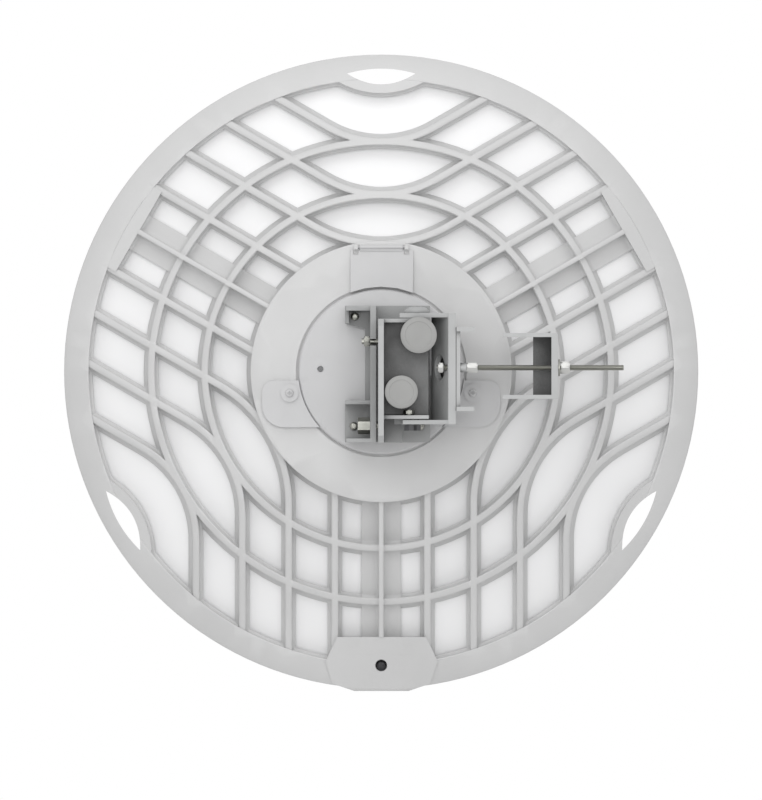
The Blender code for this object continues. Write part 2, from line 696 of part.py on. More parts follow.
def barrel(axis, centre, position, radius):
    """A swivelling nut: a short drum on two trunnions."""
    drum_half, trunnion_half = 7.5 * MM, 11.8 * MM
    profile = [(0, -trunnion_half), (TRUNNION, -trunnion_half), (TRUNNION, -drum_half)]
    profile += [(radius, -drum_half), (radius, drum_half)]
    profile += [(TRUNNION, drum_half), (TRUNNION, trunnion_half), (0, trunnion_half)]
    return turned(axis, centre, [(r, position + h) for r, h in profile], 16)


def add_barrels():
    """Each drum is bored across for its screw."""
    x, z = ELEVATION_SCREW
    y = ELEVATION_AXIS.y
    drum = barrel("x", (y, z), x, 8 * MM)
    bore = rod("y", (x, z), 4.8 * MM, y - 12 * MM, y + 12 * MM)
    add_piece("elevation_barrel", "plated_steel", "elevation_barrel", drum, cut=[bore])
    x, z = AZIMUTH_SCREW
    drum = barrel("z", (x, 0), z, 6 * MM)
    bore = rod("y", (x, z), 3.8 * MM, -10 * MM, 10 * MM)
    add_piece("azimuth_barrel", "plated_steel", "azimuth_barrel", drum, cut=[bore])


# --- azimuth carriage --------------------------------------------------------------------------

WALL_LEFT, WALL_RIGHT = -113.2 * MM, -107.1 * MM
CARRIAGE_TOP, CARRIAGE_BOTTOM = 50.2 * MM, -52.6 * MM
CARRIAGE_SHEET = 4.1 * MM
CARRIAGE_EDGE = -61 * MM
FLANGE_BACK = -47.5 * MM
WEB_BACK, WEB_FRONT = -22 * MM, -18 * MM
PIVOT = (AZIMUTH_AXIS.x, AZIMUTH_AXIS.y)


def add_carriage():
    wall_outline = [(-58, -70), (-51, -77.2), (51, -77.2), (58, -70), (58, 43), (51, 50.2)]
    wall_outline += [(-51, 50.2), (-58, 43)]
    wall_outline = [(y * MM, z * MM) for y, z in wall_outline]
    holes = [circle((ELEVATION_AXIS.y, ELEVATION_AXIS.z), 4.4 * MM, 12)]
    holes += [circle((ELEVATION_AXIS.y, LOCK_Z), BOLT_HOLE, 10)]
    wall = plate("x", WALL_LEFT, WALL_RIGHT, wall_outline, holes)
    flange = rectangle(WALL_LEFT + 2 * MM, CARRIAGE_EDGE, FLANGE_BACK, 7.5 * MM)
    pivot_hole = circle(PIVOT, BOLT_HOLE, 10)
    lock_slot = arc_slot(PIVOT, (AZIMUTH_LOCK.x, AZIMUTH_LOCK.y), AZIMUTH_LIMIT, BOLT_HOLE)
    top = plate("z", CARRIAGE_TOP - CARRIAGE_SHEET, CARRIAGE_TOP, flange, [pivot_hole])
    low = CARRIAGE_BOTTOM
    bottom = plate("z", low, low + CARRIAGE_SHEET, flange, [pivot_hole, lock_slot])
    screws = [circle(centre, 3.8 * MM, 10) for centre in (ELEVATION_SCREW, AZIMUTH_SCREW)]
    web_outline = rectangle(WALL_LEFT + 2 * MM, CARRIAGE_EDGE, low + MM, CARRIAGE_TOP - MM)
    web = plate("y", WEB_BACK, WEB_FRONT, web_outline, screws)
    add_piece("azimuth_carriage", "bracket_paint", "carriage", wall, [top, bottom, web])


def add_adjusters():
    """Two knobs, each on a screw whose collars hold it to the carriage's web."""
    knob_back, knob_front = -57.5 * MM, -48.3 * MM
    collar, collar_length = 6.2 * MM, 3.7 * MM
    collars = [(WEB_BACK - FIT - collar_length, WEB_BACK - FIT)]
    collars += [(WEB_FRONT + FIT, WEB_FRONT + FIT + collar_length)]
    for name, centre, radius, tip in (
        ("elevation", ELEVATION_SCREW, 18.9 * MM, 66 * MM),
        ("azimuth", AZIMUTH_SCREW, 17.2 * MM, 10 * MM),
    ):
        body = name + "_knob"
        face = [(0, knob_back), (radius - MM, knob_back), (radius, knob_back + MM)]
        face += [(radius, knob_front), (0, knob_front)]
        add_piece(name + "_knob", "cap_plastic", body, turned("y", centre, face, 32))
        shaft = [(0, knob_front + FIT), (ROD_RADIUS, knob_front + FIT)]
        for near, far in collars:
            shaft += [(ROD_RADIUS, near), (collar, near), (collar, far), (ROD_RADIUS, far)]
        shaft += [(ROD_RADIUS, tip), (0, tip)]
        add_piece(name + "_screw", "plated_steel", body, turned("y", centre, shaft, 12))


def add_elevation_bolts():
    """The pivot bolt with its square nut block, and the bolt that locks the tilt."""
    centre = (ELEVATION_AXIS.y, ELEVATION_AXIS.z)
    head = (-134 * MM, WEB_LEFT - FIT)
    pivot = bolt("x", centre, 4 * MM, -90.5 * MM, head, 8.5 * MM)
    add_piece("elevation_pivot_bolt", "plated_steel", "carriage", pivot)
    y, z = centre
    block_outline = rectangle(y - 13 * MM, y + 13 * MM, -77 * MM, z + 8.5 * MM)
    block = plate("x", WALL_RIGHT + FIT, -88.6 * MM, block_outline, [circle(centre, 4.4 * MM, 12)])
    add_piece("elevation_pivot_nut", "bracket_paint", "carriage", block)
    centre = (ELEVATION_AXIS.y, LOCK_Z)
    shank_end = -130 * MM
    lock = [(0, shank_end), (3 * MM, shank_end), (3 * MM, WALL_RIGHT + FIT)]
    lock += [(5.2 * MM, WALL_RIGHT + FIT), (5.2 * MM, -97 * MM), (0, -97 * MM)]
    add_piece("elevation_lock_bolt", "plated_steel", "carriage", turned("x", centre, lock, 12))
    lock_nut = nut("x", centre, 6 * MM, 3.35 * MM, -127.5 * MM, WEB_LEFT - FIT)
    add_piece("elevation_lock_nut", "plated_steel", "carriage", lock_nut)


# --- mast bracket ------------------------------------------------------------------------------

BRACKET_LOW, BRACKET_HIGH = -58 * MM, 56 * MM
BRACKET_SHEET = 4.4 * MM
MAST_FLANGE_BACK = -45.9 * MM  # clear of the tilt knob when the carriage turns
WALL_NEAR = 47 * MM  # the slanted wall's two ends
CROSS_WEB = (12.5 * MM, 16.5 * MM)


def add_mast_bracket():
    inner = [(-58.5 * MM, 5 * MM), (-41.2 * MM, WALL_NEAR)]
    outer = [(-33.5 * MM, WALL_NEAR), (-52.5 * MM, 5 * MM)]
    wall = plate("z", BRACKET_LOW, BRACKET_HIGH, mirrored(inner + outer))

    def flange(left):
        edge = [(left, MAST_FLANGE_BACK), (-38 * MM, MAST_FLANGE_BACK), (-55.5 * MM, -5 * MM)]
        return edge + [(-55.5 * MM, 5 * MM), (-49.5 * MM, CROSS_WEB[1]), (left, CROSS_WEB[1])]

    pivot_hole = circle(PIVOT, BOLT_HOLE, 10)
    lock_hole = circle((AZIMUTH_LOCK.x, AZIMUTH_LOCK.y), BOLT_HOLE, 10)
    top = plate("z", BRACKET_HIGH - BRACKET_SHEET, BRACKET_HIGH, flange(-91 * MM), [pivot_hole])
    low = BRACKET_LOW
    holes = [pivot_hole, lock_hole]
    bottom = plate("z", low, low + BRACKET_SHEET, flange(-88 * MM), holes)
    x, z = AZIMUTH_SCREW
    web_outline = rectangle(-96.5 * MM, -49.5 * MM, low, z + 17 * MM)
    web = plate("y", *CROSS_WEB, web_outline, [circle(AZIMUTH_SCREW, 6 * MM, 12)])
    cheek = rectangle(x - 6.5 * MM, x + 6.5 * MM, -6.5 * MM, 14 * MM)
    trunnion_hole = circle((x, 0), TRUNNION_HOLE, 12)
    cheeks = [
        plate("z", z + side * 10 * MM - 2 * MM, z + side * 10 * MM + 2 * MM, cheek, [trunnion_hole])
        for side in (-1, 1)
    ]
    rod_holes = [rod("x", (side * ROD_Y, 0), BOLT_HOLE, -60 * MM, -20 * MM) for side in (-1, 1)]
    window = rod("x", (0, 0), 13.3 * MM, -10 * MM, 8 * MM, 20)
    turn = math.atan2(17.3, 42)  # the slanted wall leans this far from the mast's direction
    window.transform(Matrix.Translation((-48.3 * MM, -24.5 * MM, 0)) @ Matrix.Rotation(turn, 4, "Z"))
    parts = [top, bottom, web, *cheeks]
    add_piece("mast_bracket", "bracket_paint", "root", wall, parts, [*rod_holes, window])


def add_azimuth_bolts():
    head = [(0, 62.6), (7, 62.2), (11, 60), (13, 56.3), (3, 56.3), (3, 39.8), (0, 39.8)]
    head = [(radius * MM, z * MM) for radius, z in head]
    add_piece("azimuth_pivot_top", "bracket_paint", "root", turned("z", PIVOT, head, 20))
    under_top = CARRIAGE_TOP - CARRIAGE_SHEET
    top_nut = nut("z", PIVOT, 6 * MM, 3.35 * MM, under_top - 5 * MM, under_top - FIT)
    add_piece("azimuth_pivot_top_nut", "plated_steel", "root", top_nut)
    over_bottom = CARRIAGE_BOTTOM + CARRIAGE_SHEET
    for name, centre, radius in (
        ("azimuth_pivot_bottom", PIVOT, 4.6 * MM),
        ("azimuth_lock_bolt", (AZIMUTH_LOCK.x, AZIMUTH_LOCK.y), 5.6 * MM),
    ):
        head = (BRACKET_LOW - 6.5 * MM, BRACKET_LOW - FIT)
        shank = bolt("z", centre, 3 * MM, over_bottom + 6.5 * MM, head, radius)
        add_piece(name, "dark_steel", "root", shank)
        held = nut("z", centre, 5.8 * MM, 3.35 * MM, over_bottom + FIT, over_bottom + 5.3 * MM)
        add_piece(name.replace("_bolt", "") + "_nut", "plated_steel", "root", held)


# --- mast clamp --------------------------------------------------------------------------------

NOTCH_APEX = MAST_RADIUS / math.sin(math.radians(50))
TIP_X, TIP_Y = 14.5 * MM, 41 * MM
JAW_HALF = 54 * MM


def add_fixed_jaw():
    inner = [(-51.9 * MM, 5 * MM), (-32.9 * MM, WALL_NEAR)]
    outer = [(-28.9 * MM, WALL_NEAR), (-47.9 * MM, 5 * MM)]
    low, high = -44.5 * MM, 41.7 * MM
    web = plate("z", low, high, mirrored(inner + outer))
    notch_flat = 2.5 * MM
    notch_x = -NOTCH_APEX + notch_flat / math.tan(math.radians(50))
    half = [(-51.9 * MM, 5 * MM), (-32.9 * MM, WALL_NEAR), (-32.9 * MM, JAW_HALF)]
    half += [(-TIP_X, JAW_HALF), (-TIP_X, TIP_Y), (notch_x, notch_flat)]
    outline = mirrored(half)
    flanges = [plate("z", high - 4.5 * MM, high, outline), plate("z", low, low + 4.5 * MM, outline)]
    centres = [(side * ROD_Y, 0) for side in (-1, 1)]
    bosses = [rod("x", centre, 5 * MM, -33 * MM, -22.5 * MM) for centre in centres]
    bores = [rod("x", centre, BOLT_HOLE, -60 * MM, -20 * MM) for centre in centres]
    add_piece("fixed_jaw", "bracket_paint", "root", web, flanges + bosses, bores)


def add_moving_jaw():
    web_left, web_right = 64.5 * MM, 71.2 * MM
    low, high = -32 * MM, 35.6 * MM
    holes = [circle((side * ROD_Y, 0), 3.6 * MM, 12) for side in (-1, 1)]
    web = plate("x", web_left, web_right, rectangle(-JAW_HALF, JAW_HALF, low, high), holes)
    half = [(web_left + 2 * MM, JAW_HALF), (TIP_X, JAW_HALF), (TIP_X, TIP_Y), (NOTCH_APEX, 0)]
    outline = half + [(a, -b) for a, b in half[2::-1]]
    flanges = [plate("z", high - 4.2 * MM, high, outline), plate("z", low, low + 4.2 * MM, outline)]
    stiffener_plan = rectangle(NOTCH_APEX - 2 * MM, web_left + 2 * MM, -3 * MM, 3 * MM)
    stiffener = plate("z", low + 2 * MM, high - 2 * MM, stiffener_plan)
    add_piece("moving_jaw", "bracket_paint", "moving_jaw", web, [*flanges, stiffener])
    for side, word in ((-1, "front"), (1, "back")):
        centre = (side * ROD_Y, 0)
        washer = tube("x", centre, 3.4 * MM, 8.8 * MM, web_right + FIT, web_right + 2 * MM, 16)
        add_piece(f"clamp_washer_{word}", "plated_steel", "moving_jaw", washer)
        clamp_nut = nut("x", centre, 7.2 * MM, 3.35 * MM, web_right + 2.3 * MM, 83.5 * MM)
        add_piece(f"clamp_nut_{word}", "plated_steel", "moving_jaw", clamp_nut)


def add_rods():
    for side, word in ((-1, "front"), (1, "back")):
        centre = (side * ROD_Y, 0)
        shaft = rod("x", centre, ROD_RADIUS, ROD_LEFT, ROD_RIGHT)
        add_piece(f"clamp_rod_{word}", "plated_steel", "root", shaft)
        end_nut = nut("x", centre, 5.8 * MM, 3.35 * MM, -51.8 * MM, -46.3 * MM)
        add_piece(f"rod_end_nut_{word}", "plated_steel", "root", end_nut)
        jaw_nut = nut("x", centre, 5.8 * MM, 3.35 * MM, -22.2 * MM, -11.2 * MM)
        add_piece(f"jaw_nut_{word}", "plated_steel", "root", jaw_nut)


clear_scene()
materials = {name: make_material(name) for name in MATERIALS}
pivots = make_pivots()

add_reflector()
add_rib_frame()
add_rear_housing()
add_radio()
add_ports()
add_port_cover()
add_feed()
add_dish_screws()
add_hub_bracket()
add_barrels()
add_carriage()
add_adjusters()
add_elevation_bolts()
add_mast_bracket()
add_azimuth_bolts()
add_fixed_jaw()
add_moving_jaw()
add_rods()
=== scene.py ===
"""Looks for the outdoor wireless bridge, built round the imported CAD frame.

The lattice frame, the reflector, the rear cover, the feed, the rods, nuts, screws and knobs are rebuilt
finer here. The bracket plates, the elevation nut block and the port cover get rounded edges, and
threads and jack contacts are added. Every other piece keeps its CAD solid and gets a finish.
"""

import functools
import json
import math

import bmesh
import bpy
import numpy as np
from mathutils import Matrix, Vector, geometry


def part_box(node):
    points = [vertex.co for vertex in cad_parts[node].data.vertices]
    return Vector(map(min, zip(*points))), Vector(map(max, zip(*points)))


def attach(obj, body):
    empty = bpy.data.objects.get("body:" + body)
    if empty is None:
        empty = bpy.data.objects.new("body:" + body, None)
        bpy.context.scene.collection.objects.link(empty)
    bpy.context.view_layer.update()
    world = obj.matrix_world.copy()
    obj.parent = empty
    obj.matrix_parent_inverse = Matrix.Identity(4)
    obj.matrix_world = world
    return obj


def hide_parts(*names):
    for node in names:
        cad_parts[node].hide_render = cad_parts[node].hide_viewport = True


MM = 0.001

# The dish, in the CAD frame: its axis runs along +Y through DISH_X and DISH_Z
DISH_X = -110 * MM
DISH_Z = -4 * MM
DISH_RADIUS = 325 * MM
FOCAL_LENGTH = 210 * MM
HUB_Y = 100 * MM  # the hub's flat back face
VERTEX_Y = 118 * MM  # back of the reflector on its own axis
SKIN = 1.5 * MM  # sheet thickness of the reflector
SKIN_RADIUS = 318 * MM
SKIN_OPENING = 66 * MM  # radius of the hole at the reflector's middle
SKIN_GAP = 1.2 * MM  # lattice to reflector

# The lattice, in the dish's own plan: u to the right and v up from the dish's axis
STRUT_ANGLES = [math.radians(angle) for angle in (30, 150, 270)]
SECTOR_ANGLES = [math.radians(angle) for angle in (90, 210, 330)]
CORNER = math.radians(60)  # half the angle between two struts
RIB_PITCH = 47.5 * MM  # between ribs parallel to a strut
RIB_FILLETS = (129 * MM, 139 * MM, 112 * MM, 108 * MM, 86 * MM)  # over the middle of a sector
RIB_NUMBERS = (1, 2, 3, 4)
RIB_REACH = 308 * MM  # where a rib ends, inside the rim
RIB_WIDTH = 7 * MM
RIB_HEIGHTS = (26 * MM, 13 * MM)  # at the hub, and how much less at the rim
BLADE_HEIGHTS = (31 * MM, 11 * MM)
BLADE_HALF = 2.6 * MM  # half the thickness of a strut's blade
BLADE_TOP_HALF = 1.9 * MM
BLADE_ENDS = (126 * MM, 292 * MM)  # from the dish's axis
FLANK_HALF = 20 * MM  # half the width of the shallow floor under a blade
FLANK_ENDS = (128 * MM, 290 * MM)
FLANK_HEIGHT = 4 * MM
WEB_HEIGHT = 0.4 * MM  # of the web between the ribs
RING_RADII = (181 * MM, 236 * MM)
RIM_INNER = 300 * MM
RIM_HEIGHT = 15 * MM
RIM_STRAIGHTS = (287 * MM, 306 * MM)  # the rim's widening at a strut, from the dish's axis
FOOT_HEIGHT = 18 * MM
HUB_RADIUS = 134 * MM
HUB_BORE = 78.5 * MM
GROOVE_RADII = (84 * MM, 87.5 * MM)
GROOVE_DEPTH = 3 * MM
FLARE = 4.5 * MM  # height of the flared foot of a rib
FLARE_STEPS = (0.8 * MM, 2 * MM, 4 * MM)  # its reach, out from the rib's wall
ROUNDING = 1.2 * MM  # of the edges of ribs, rim and hub
SLOT_HALF = 35 * MM
SLOT_HEIGHTS = (310.5 * MM, 294.5 * MM, 305.5 * MM)  # outer arch, inner arch and pointed ends
FOOT_HOLE = (0, -301.2 * MM)
BAY = (-27 * MM, 27 * MM, 90 * MM, 119 * MM)  # left, right, bottom and top
BAY_FLOOR = HUB_Y + 20 * MM
BUTTON = (8 * MM, 103 * MM)
BEND_STEPS = 9

# The rear cover
HOUSING_RADIUS = 85 * MM
HOUSING_INSIDE = 74.5 * MM
HOUSING_FRONT = HUB_Y - 0.3 * MM
HOUSING_WALL = 3 * MM
EAR_BACK = HUB_Y - 5.5 * MM
EAR_BOSS = (94 * MM, -22 * MM)
BOSS_RADIUS = 9.2 * MM
BOSS_BORE = 2.3 * MM
EAR_SPAN = (60 * MM, 122 * MM)  # from the dish's axis
EAR_BOTTOM = (-57 * MM, 22 * MM)  # height and corner radius
EAR_TOP = (-9 * MM, 12 * MM)
STATUS_LIGHT = (-62.3 * MM, 2.7 * MM)
STATUS_BORE = 3.2 * MM
PAD_BACK = HUB_Y - 12.7 * MM  # of the seat round each bracket screw
PAD_RADIUS = 8 * MM
M5_HOLE = 2.6 * MM
BRACKET_SCREWS = [(-27 * MM, 56.5 * MM), (40 * MM, 54 * MM), (-28 * MM, -56 * MM), (40 * MM, -56 * MM)]

# Screws and nuts
PITCH = 1 * MM  # of the M6 threads
ROWS_PER_PITCH = 4
M6_RADIUS = 3 * MM
M6_THREAD = 0.55 * MM  # its depth
ADJUSTER_RADIUS = 3.12 * MM
ADJUSTER_THREAD = 0.4 * MM
NUT_BORE = 3.1 * MM

SHARP_ANGLE = math.radians(32)  # edges sharper than this aren't smoothed

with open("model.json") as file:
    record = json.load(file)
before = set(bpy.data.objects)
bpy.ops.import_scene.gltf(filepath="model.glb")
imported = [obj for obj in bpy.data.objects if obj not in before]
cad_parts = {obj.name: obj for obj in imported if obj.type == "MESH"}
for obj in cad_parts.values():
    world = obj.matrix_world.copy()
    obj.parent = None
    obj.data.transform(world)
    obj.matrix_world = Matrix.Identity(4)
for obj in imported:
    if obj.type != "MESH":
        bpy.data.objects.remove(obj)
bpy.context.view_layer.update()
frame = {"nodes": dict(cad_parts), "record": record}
nodes = frame["nodes"]
record = frame["record"]
body_of = {node: body for body, held in record["behaviour"]["bodies"].items() for node in held}
slot_of = {entry["node"]: entry["material_slot"] for entry in record["subparts"]}
replaced = set()
materials = {}


# --- materials -----------------------------------------------------------------------------------


def shader_graph(name):
    """A new entry in materials, with its node tree and its shader."""
    materials[name] = bpy.data.materials.new(name)
    materials[name].use_nodes = True
    tree = materials[name].node_tree
    return tree, tree.nodes["Principled BSDF"]


def noise(tree, position, scale, detail=3.0, stretch=(1, 1, 1)):
    mapping = tree.nodes.new("ShaderNodeMapping")
    mapping.inputs["Scale"].default_value = stretch
    tree.links.new(position, mapping.inputs["Vector"])
    texture = tree.nodes.new("ShaderNodeTexNoise")
    texture.inputs["Scale"].default_value = scale
    texture.inputs["Detail"].default_value = detail
    tree.links.new(mapping.outputs["Vector"], texture.inputs["Vector"])
    return texture.outputs["Fac"]


def spread(tree, value, low, high, start=0.3, end=0.7):
    """Maps a value between start and end, where noise mostly lies, to the range from low to high."""
    node = tree.nodes.new("ShaderNodeMapRange")
    node.inputs["From Min"].default_value = start
    node.inputs["From Max"].default_value = end
    node.inputs["To Min"].default_value = low
    node.inputs["To Max"].default_value = high
    tree.links.new(value, node.inputs["Value"])
    return node.outputs["Result"]


def tinted(tree, value, dark, light):
    """A colour between dark and light, by a value that mostly lies from 0.3 to 0.7."""
    ramp = tree.nodes.new("ShaderNodeValToRGB")
    ramp.color_ramp.elements[0].position = 0.3
    ramp.color_ramp.elements[1].position = 0.7
    ramp.color_ramp.elements[0].color = (*dark, 1)
    ramp.color_ramp.elements[1].color = (*light, 1)
    tree.links.new(value, ramp.inputs["Fac"])
    return ramp.outputs["Color"]


def bumped(tree, height, strength, distance, below=None):
    """A normal for a height of up to the distance, on top of another normal."""
    bump = tree.nodes.new("ShaderNodeBump")
    bump.inputs["Strength"].default_value = strength
    bump.inputs["Distance"].default_value = distance
    tree.links.new(height, bump.inputs["Height"])
    if below:
        tree.links.new(below, bump.inputs["Normal"])
    return bump.outputs["Normal"]


def painted_recess_shade(tree, colour, depth, least):
    """Painted shade: a colour that falls to its least share where ambient occlusion finds the surface
    in a recess up to a depth.
    """
    occlusion = tree.nodes.new("ShaderNodeAmbientOcclusion")
    occlusion.samples = 16
    occlusion.inputs["Distance"].default_value = depth
    unshaded_share = spread(tree, occlusion.outputs["AO"], least, 1, 0.3, 0.9)
    scaled = tree.nodes.new("ShaderNodeVectorMath")
    scaled.operation = "SCALE"
    tree.links.new(colour, scaled.inputs[0])
    tree.links.new(unshaded_share, scaled.inputs["Scale"])
    return scaled.outputs["Vector"]


def surface(
    name, colour, vary, rough, grain, depth, metallic=0.0, stretch=(1, 1, 1), coat=0.0, recess=None
):
    """A surface with cloudy colour variation, uneven gloss and a fine grain, and painted shade in
    its recesses when asked.

    vary is the colour's share of variation, rough the (low, high) roughness, grain the texture
    scale of the surface, depth its height in metres, and the last argument the (depth, least share
    of the colour) of the painted shade that darkens the colour in recesses."""
    tree, shader = shader_graph(name)
    position = tree.nodes.new("ShaderNodeTexCoord").outputs["Object"]
    clouds = noise(tree, position, 9, 4, stretch)
    dark = tuple(channel * (1 - vary) for channel in colour)
    light = tuple(min(1, channel * (1 + vary)) for channel in colour)
    shade = tinted(tree, clouds, dark, light)
    # Painted shade: the colour is darkened in recesses when a recess is given.
    if recess:
        shade = painted_recess_shade(tree, shade, *recess)
    tree.links.new(shade, shader.inputs["Base Color"])
    patches = noise(tree, position, 60, 5, stretch)
    tree.links.new(spread(tree, patches, *rough), shader.inputs["Roughness"])
    waves = bumped(tree, noise(tree, position, 28, 2, stretch), 0.25, 4 * depth)
    fine = bumped(tree, noise(tree, position, grain, 2, stretch), 0.55, depth, waves)
    tree.links.new(fine, shader.inputs["Normal"])
    shader.inputs["Metallic"].default_value = metallic
    shader.inputs["Coat Weight"].default_value = coat
    shader.inputs["Coat Roughness"].default_value = 0.25


def spun_sheet(name, colour):
    """Painted spun metal: faint rings round the dish's axis under an even satin finish."""
    tree, shader = shader_graph(name)
    position = tree.nodes.new("ShaderNodeTexCoord").outputs["Object"]
    centred = tree.nodes.new("ShaderNodeVectorMath")
    centred.operation = "SUBTRACT"
    centred.inputs[1].default_value = (DISH_X, 0, DISH_Z)
    tree.links.new(position, centred.inputs[0])
    across = tree.nodes.new("ShaderNodeVectorMath")
    across.operation = "MULTIPLY"
    across.inputs[1].default_value = (1, 0, 1)
    tree.links.new(centred.outputs["Vector"], across.inputs[0])
    length = tree.nodes.new("ShaderNodeVectorMath")
    length.operation = "LENGTH"
    tree.links.new(across.outputs["Vector"], length.inputs[0])
    rings = tree.nodes.new("ShaderNodeTexNoise")
    rings.noise_dimensions = "1D"
    rings.inputs["Scale"].default_value = 420
    rings.inputs["Detail"].default_value = 3
    tree.links.new(length.outputs["Value"], rings.inputs["W"])
    clouds = noise(tree, position, 7, 3)
    dark = tuple(channel * 0.965 for channel in colour)
    tree.links.new(tinted(tree, clouds, dark, colour), shader.inputs["Base Color"])
    gloss = spread(tree, noise(tree, position, 45, 4), 0.34, 0.46)
    tree.links.new(gloss, shader.inputs["Roughness"])
    ringed = bumped(tree, rings.outputs["Fac"], 0.3, 0.05 * MM)
    fine = bumped(tree, noise(tree, position, 900, 2), 0.3, 0.02 * MM, ringed)
    tree.links.new(fine, shader.inputs["Normal"])


def plastic(name, colour, vary=0.03, rough=(0.42, 0.56), grain=1400, depth=0.05 * MM):
    """Moulded plastic or another plain matt material."""
    surface(name, colour, vary, rough, grain, depth)


def paint(name, colour, recess=None):
    """Powder coat on steel plate, with painted shade in its recesses when a recess is given."""
    surface(name, colour, 0.03, (0.32, 0.48), 700, 0.08 * MM, coat=0.15, recess=recess)


def metal(name, colour, vary, rough, grain=900, depth=0.02 * MM, metallic=1.0, stretch=(1, 1, 1)):
    """Bare or plated metal."""
    surface(name, colour, vary, rough, grain, depth, metallic, stretch)


PAINT_GREY = (0.37, 0.375, 0.375)

plastic("frame_plastic", (0.56, 0.56, 0.56))
spun_sheet("reflector_metal", (0.86, 0.86, 0.865))
plastic("housing_plastic", (0.515, 0.515, 0.52), 0.025, (0.4, 0.52), 1800, 0.04 * MM)
plastic("cap_plastic", (0.285, 0.285, 0.279), 0.04, (0.4, 0.55), 1500)
# Painted shade: the bracket paint falls to 0.4 of its colour in recesses up to 70 mm deep.
paint("bracket_paint", PAINT_GREY, (70 * MM, 0.4))
# Painted shade: a darker copy of the bracket grey for the hub bracket, darkened further to 0.6 in
# recesses up to 70 mm deep.
paint("shaded_paint", (0.34, 0.345, 0.345), (70 * MM, 0.6))
# Painted shade: the carriage and jaw paint falls almost to black in recesses up to 90 mm deep.
paint("deep_paint", PAINT_GREY, (90 * MM, 0.04))
paint("open_paint", PAINT_GREY)
metal("plated_steel", (0.36, 0.36, 0.33), 0.07, (0.34, 0.5), stretch=(1, 4, 4))
metal("bright_zinc", (0.6, 0.6, 0.585), 0.05, (0.3, 0.42))
metal("oxide_steel", (0.13, 0.13, 0.135), 0.1, (0.4, 0.55), metallic=0.7)
metal("dark_steel", (0.035, 0.035, 0.038), 0.2, (0.35, 0.5), 1100, metallic=0.7)
metal("cast_aluminium", (0.62, 0.63, 0.64), 0.05, (0.35, 0.5), 600, 0.06 * MM)
plastic("rubber", (0.025, 0.025, 0.026), 0.15, (0.7, 0.85), 1000, 0.06 * MM)
plastic("board_green", (0.02, 0.13, 0.05), 0.2, (0.3, 0.4), 500, 0.03 * MM)
surface("lens_smoke", (0.03, 0.032, 0.036), 0.1, (0.06, 0.12), 300, 0.005 * MM, coat=0.5)
plastic("dielectric", (0.78, 0.77, 0.73), 0.02, (0.35, 0.45), 900, 0.03 * MM)
metal("contact_gold", (0.75, 0.55, 0.2), 0.05, (0.2, 0.3), depth=0.01 * MM)

# Nodes whose finish differs from the rest of their material slot; the hub bracket, carriage and jaws
# get paint with painted shade
FINISH = {
    # Painted shade on the hub bracket: darker grey and darkened recesses.
    "hub_bracket": "shaded_paint",
    # Painted deep shade inside the carriage and both jaws.
    "azimuth_carriage": "deep_paint",
    "mast_bracket": "open_paint",
    "moving_jaw": "deep_paint",
    "fixed_jaw": "deep_paint",
    "port_cover_pin": "housing_plastic",
    "housing_screw_left": "housing_plastic",
    "housing_screw_right": "housing_plastic",
    "azimuth_lock_bolt": "oxide_steel",
    "azimuth_pivot_bottom": "oxide_steel",
}
for word in ("front", "back"):
    for kind in ("rod_end_nut", "jaw_nut", "clamp_nut"):
        FINISH[f"{kind}_{word}"] = "bright_zinc"


# --- pieces --------------------------------------------------------------------------------------


def smooth(mesh, sharp_angle=SHARP_ANGLE):
    mesh.shade_smooth()
    mesh.set_sharp_from_angle(angle=sharp_angle)


def show(name, builder, slot, body, replaces=(), bevel=0.0, segments=2, finish=None):
    """A finished piece from a bmesh, riding on a body and standing for the CAD nodes named."""
    bmesh.ops.recalc_face_normals(builder, faces=builder.faces)
    mesh = bpy.data.meshes.new(name)
    builder.to_mesh(mesh)
    builder.free()
    piece = bpy.data.objects.new(name, mesh)
    bpy.context.scene.collection.objects.link(piece)
    if not finish:
        finish = FINISH.get(replaces[0], slot) if replaces else slot
    mesh.materials.append(materials[finish])
    smooth(mesh)
    if bevel:
        modifier = piece.modifiers.new("rounded edges", "BEVEL")
        modifier.width = bevel
        modifier.segments = segments
        modifier.limit_method = "ANGLE"
        modifier.angle_limit = math.radians(38)
        modifier.harden_normals = True
    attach(piece, body)
    if replaces:
        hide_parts(*replaces)
        replaced.update(replaces)
    return piece


def softened(node, bevel, segments=2):
    """The node's own solid with its edges rounded."""
    builder = bmesh.new()
    builder.from_mesh(nodes[node].data)
    bmesh.ops.remove_doubles(builder, verts=builder.verts, dist=2e-6)
    bmesh.ops.dissolve_limit(
        builder, angle_limit=math.radians(0.4), verts=builder.verts, edges=builder.edges
    )
    name = node + "_finish"
    return show(name, builder, slot_of[node], body_of[node], [node], bevel, segments)


def turned_piece(node, axis, centre, profile, steps=96, bevel=0.0):
    """The node's piece turned from a profile of (radius, height) in millimetres."""
    shape = turned(axis, centre, [(radius * MM, height * MM) for radius, height in profile], steps)
    return show(node + "_turned", shape, slot_of[node], body_of[node], [node], bevel)


def cut(piece, builder):
    """Cuts a shape out of a finished piece and applies the cut."""
    bmesh.ops.recalc_face_normals(builder, faces=builder.faces)
    mesh = bpy.data.meshes.new("cutter")
    builder.to_mesh(mesh)
    builder.free()
    cutter = bpy.data.objects.new("cutter", mesh)
    bpy.context.scene.collection.objects.link(cutter)
    modifier = piece.modifiers.new("recess", "BOOLEAN")
    modifier.operation = "DIFFERENCE"
    modifier.object = cutter
    graph = bpy.context.evaluated_depsgraph_get()
    piece_with_cut = piece.evaluated_get(graph)
    finished = bpy.data.meshes.new_from_object(piece_with_cut)
    piece.modifiers.clear()
    piece.data = finished
    bpy.data.objects.remove(cutter)
    smooth(finished)


# --- plan outlines -------------------------------------------------------------------------------


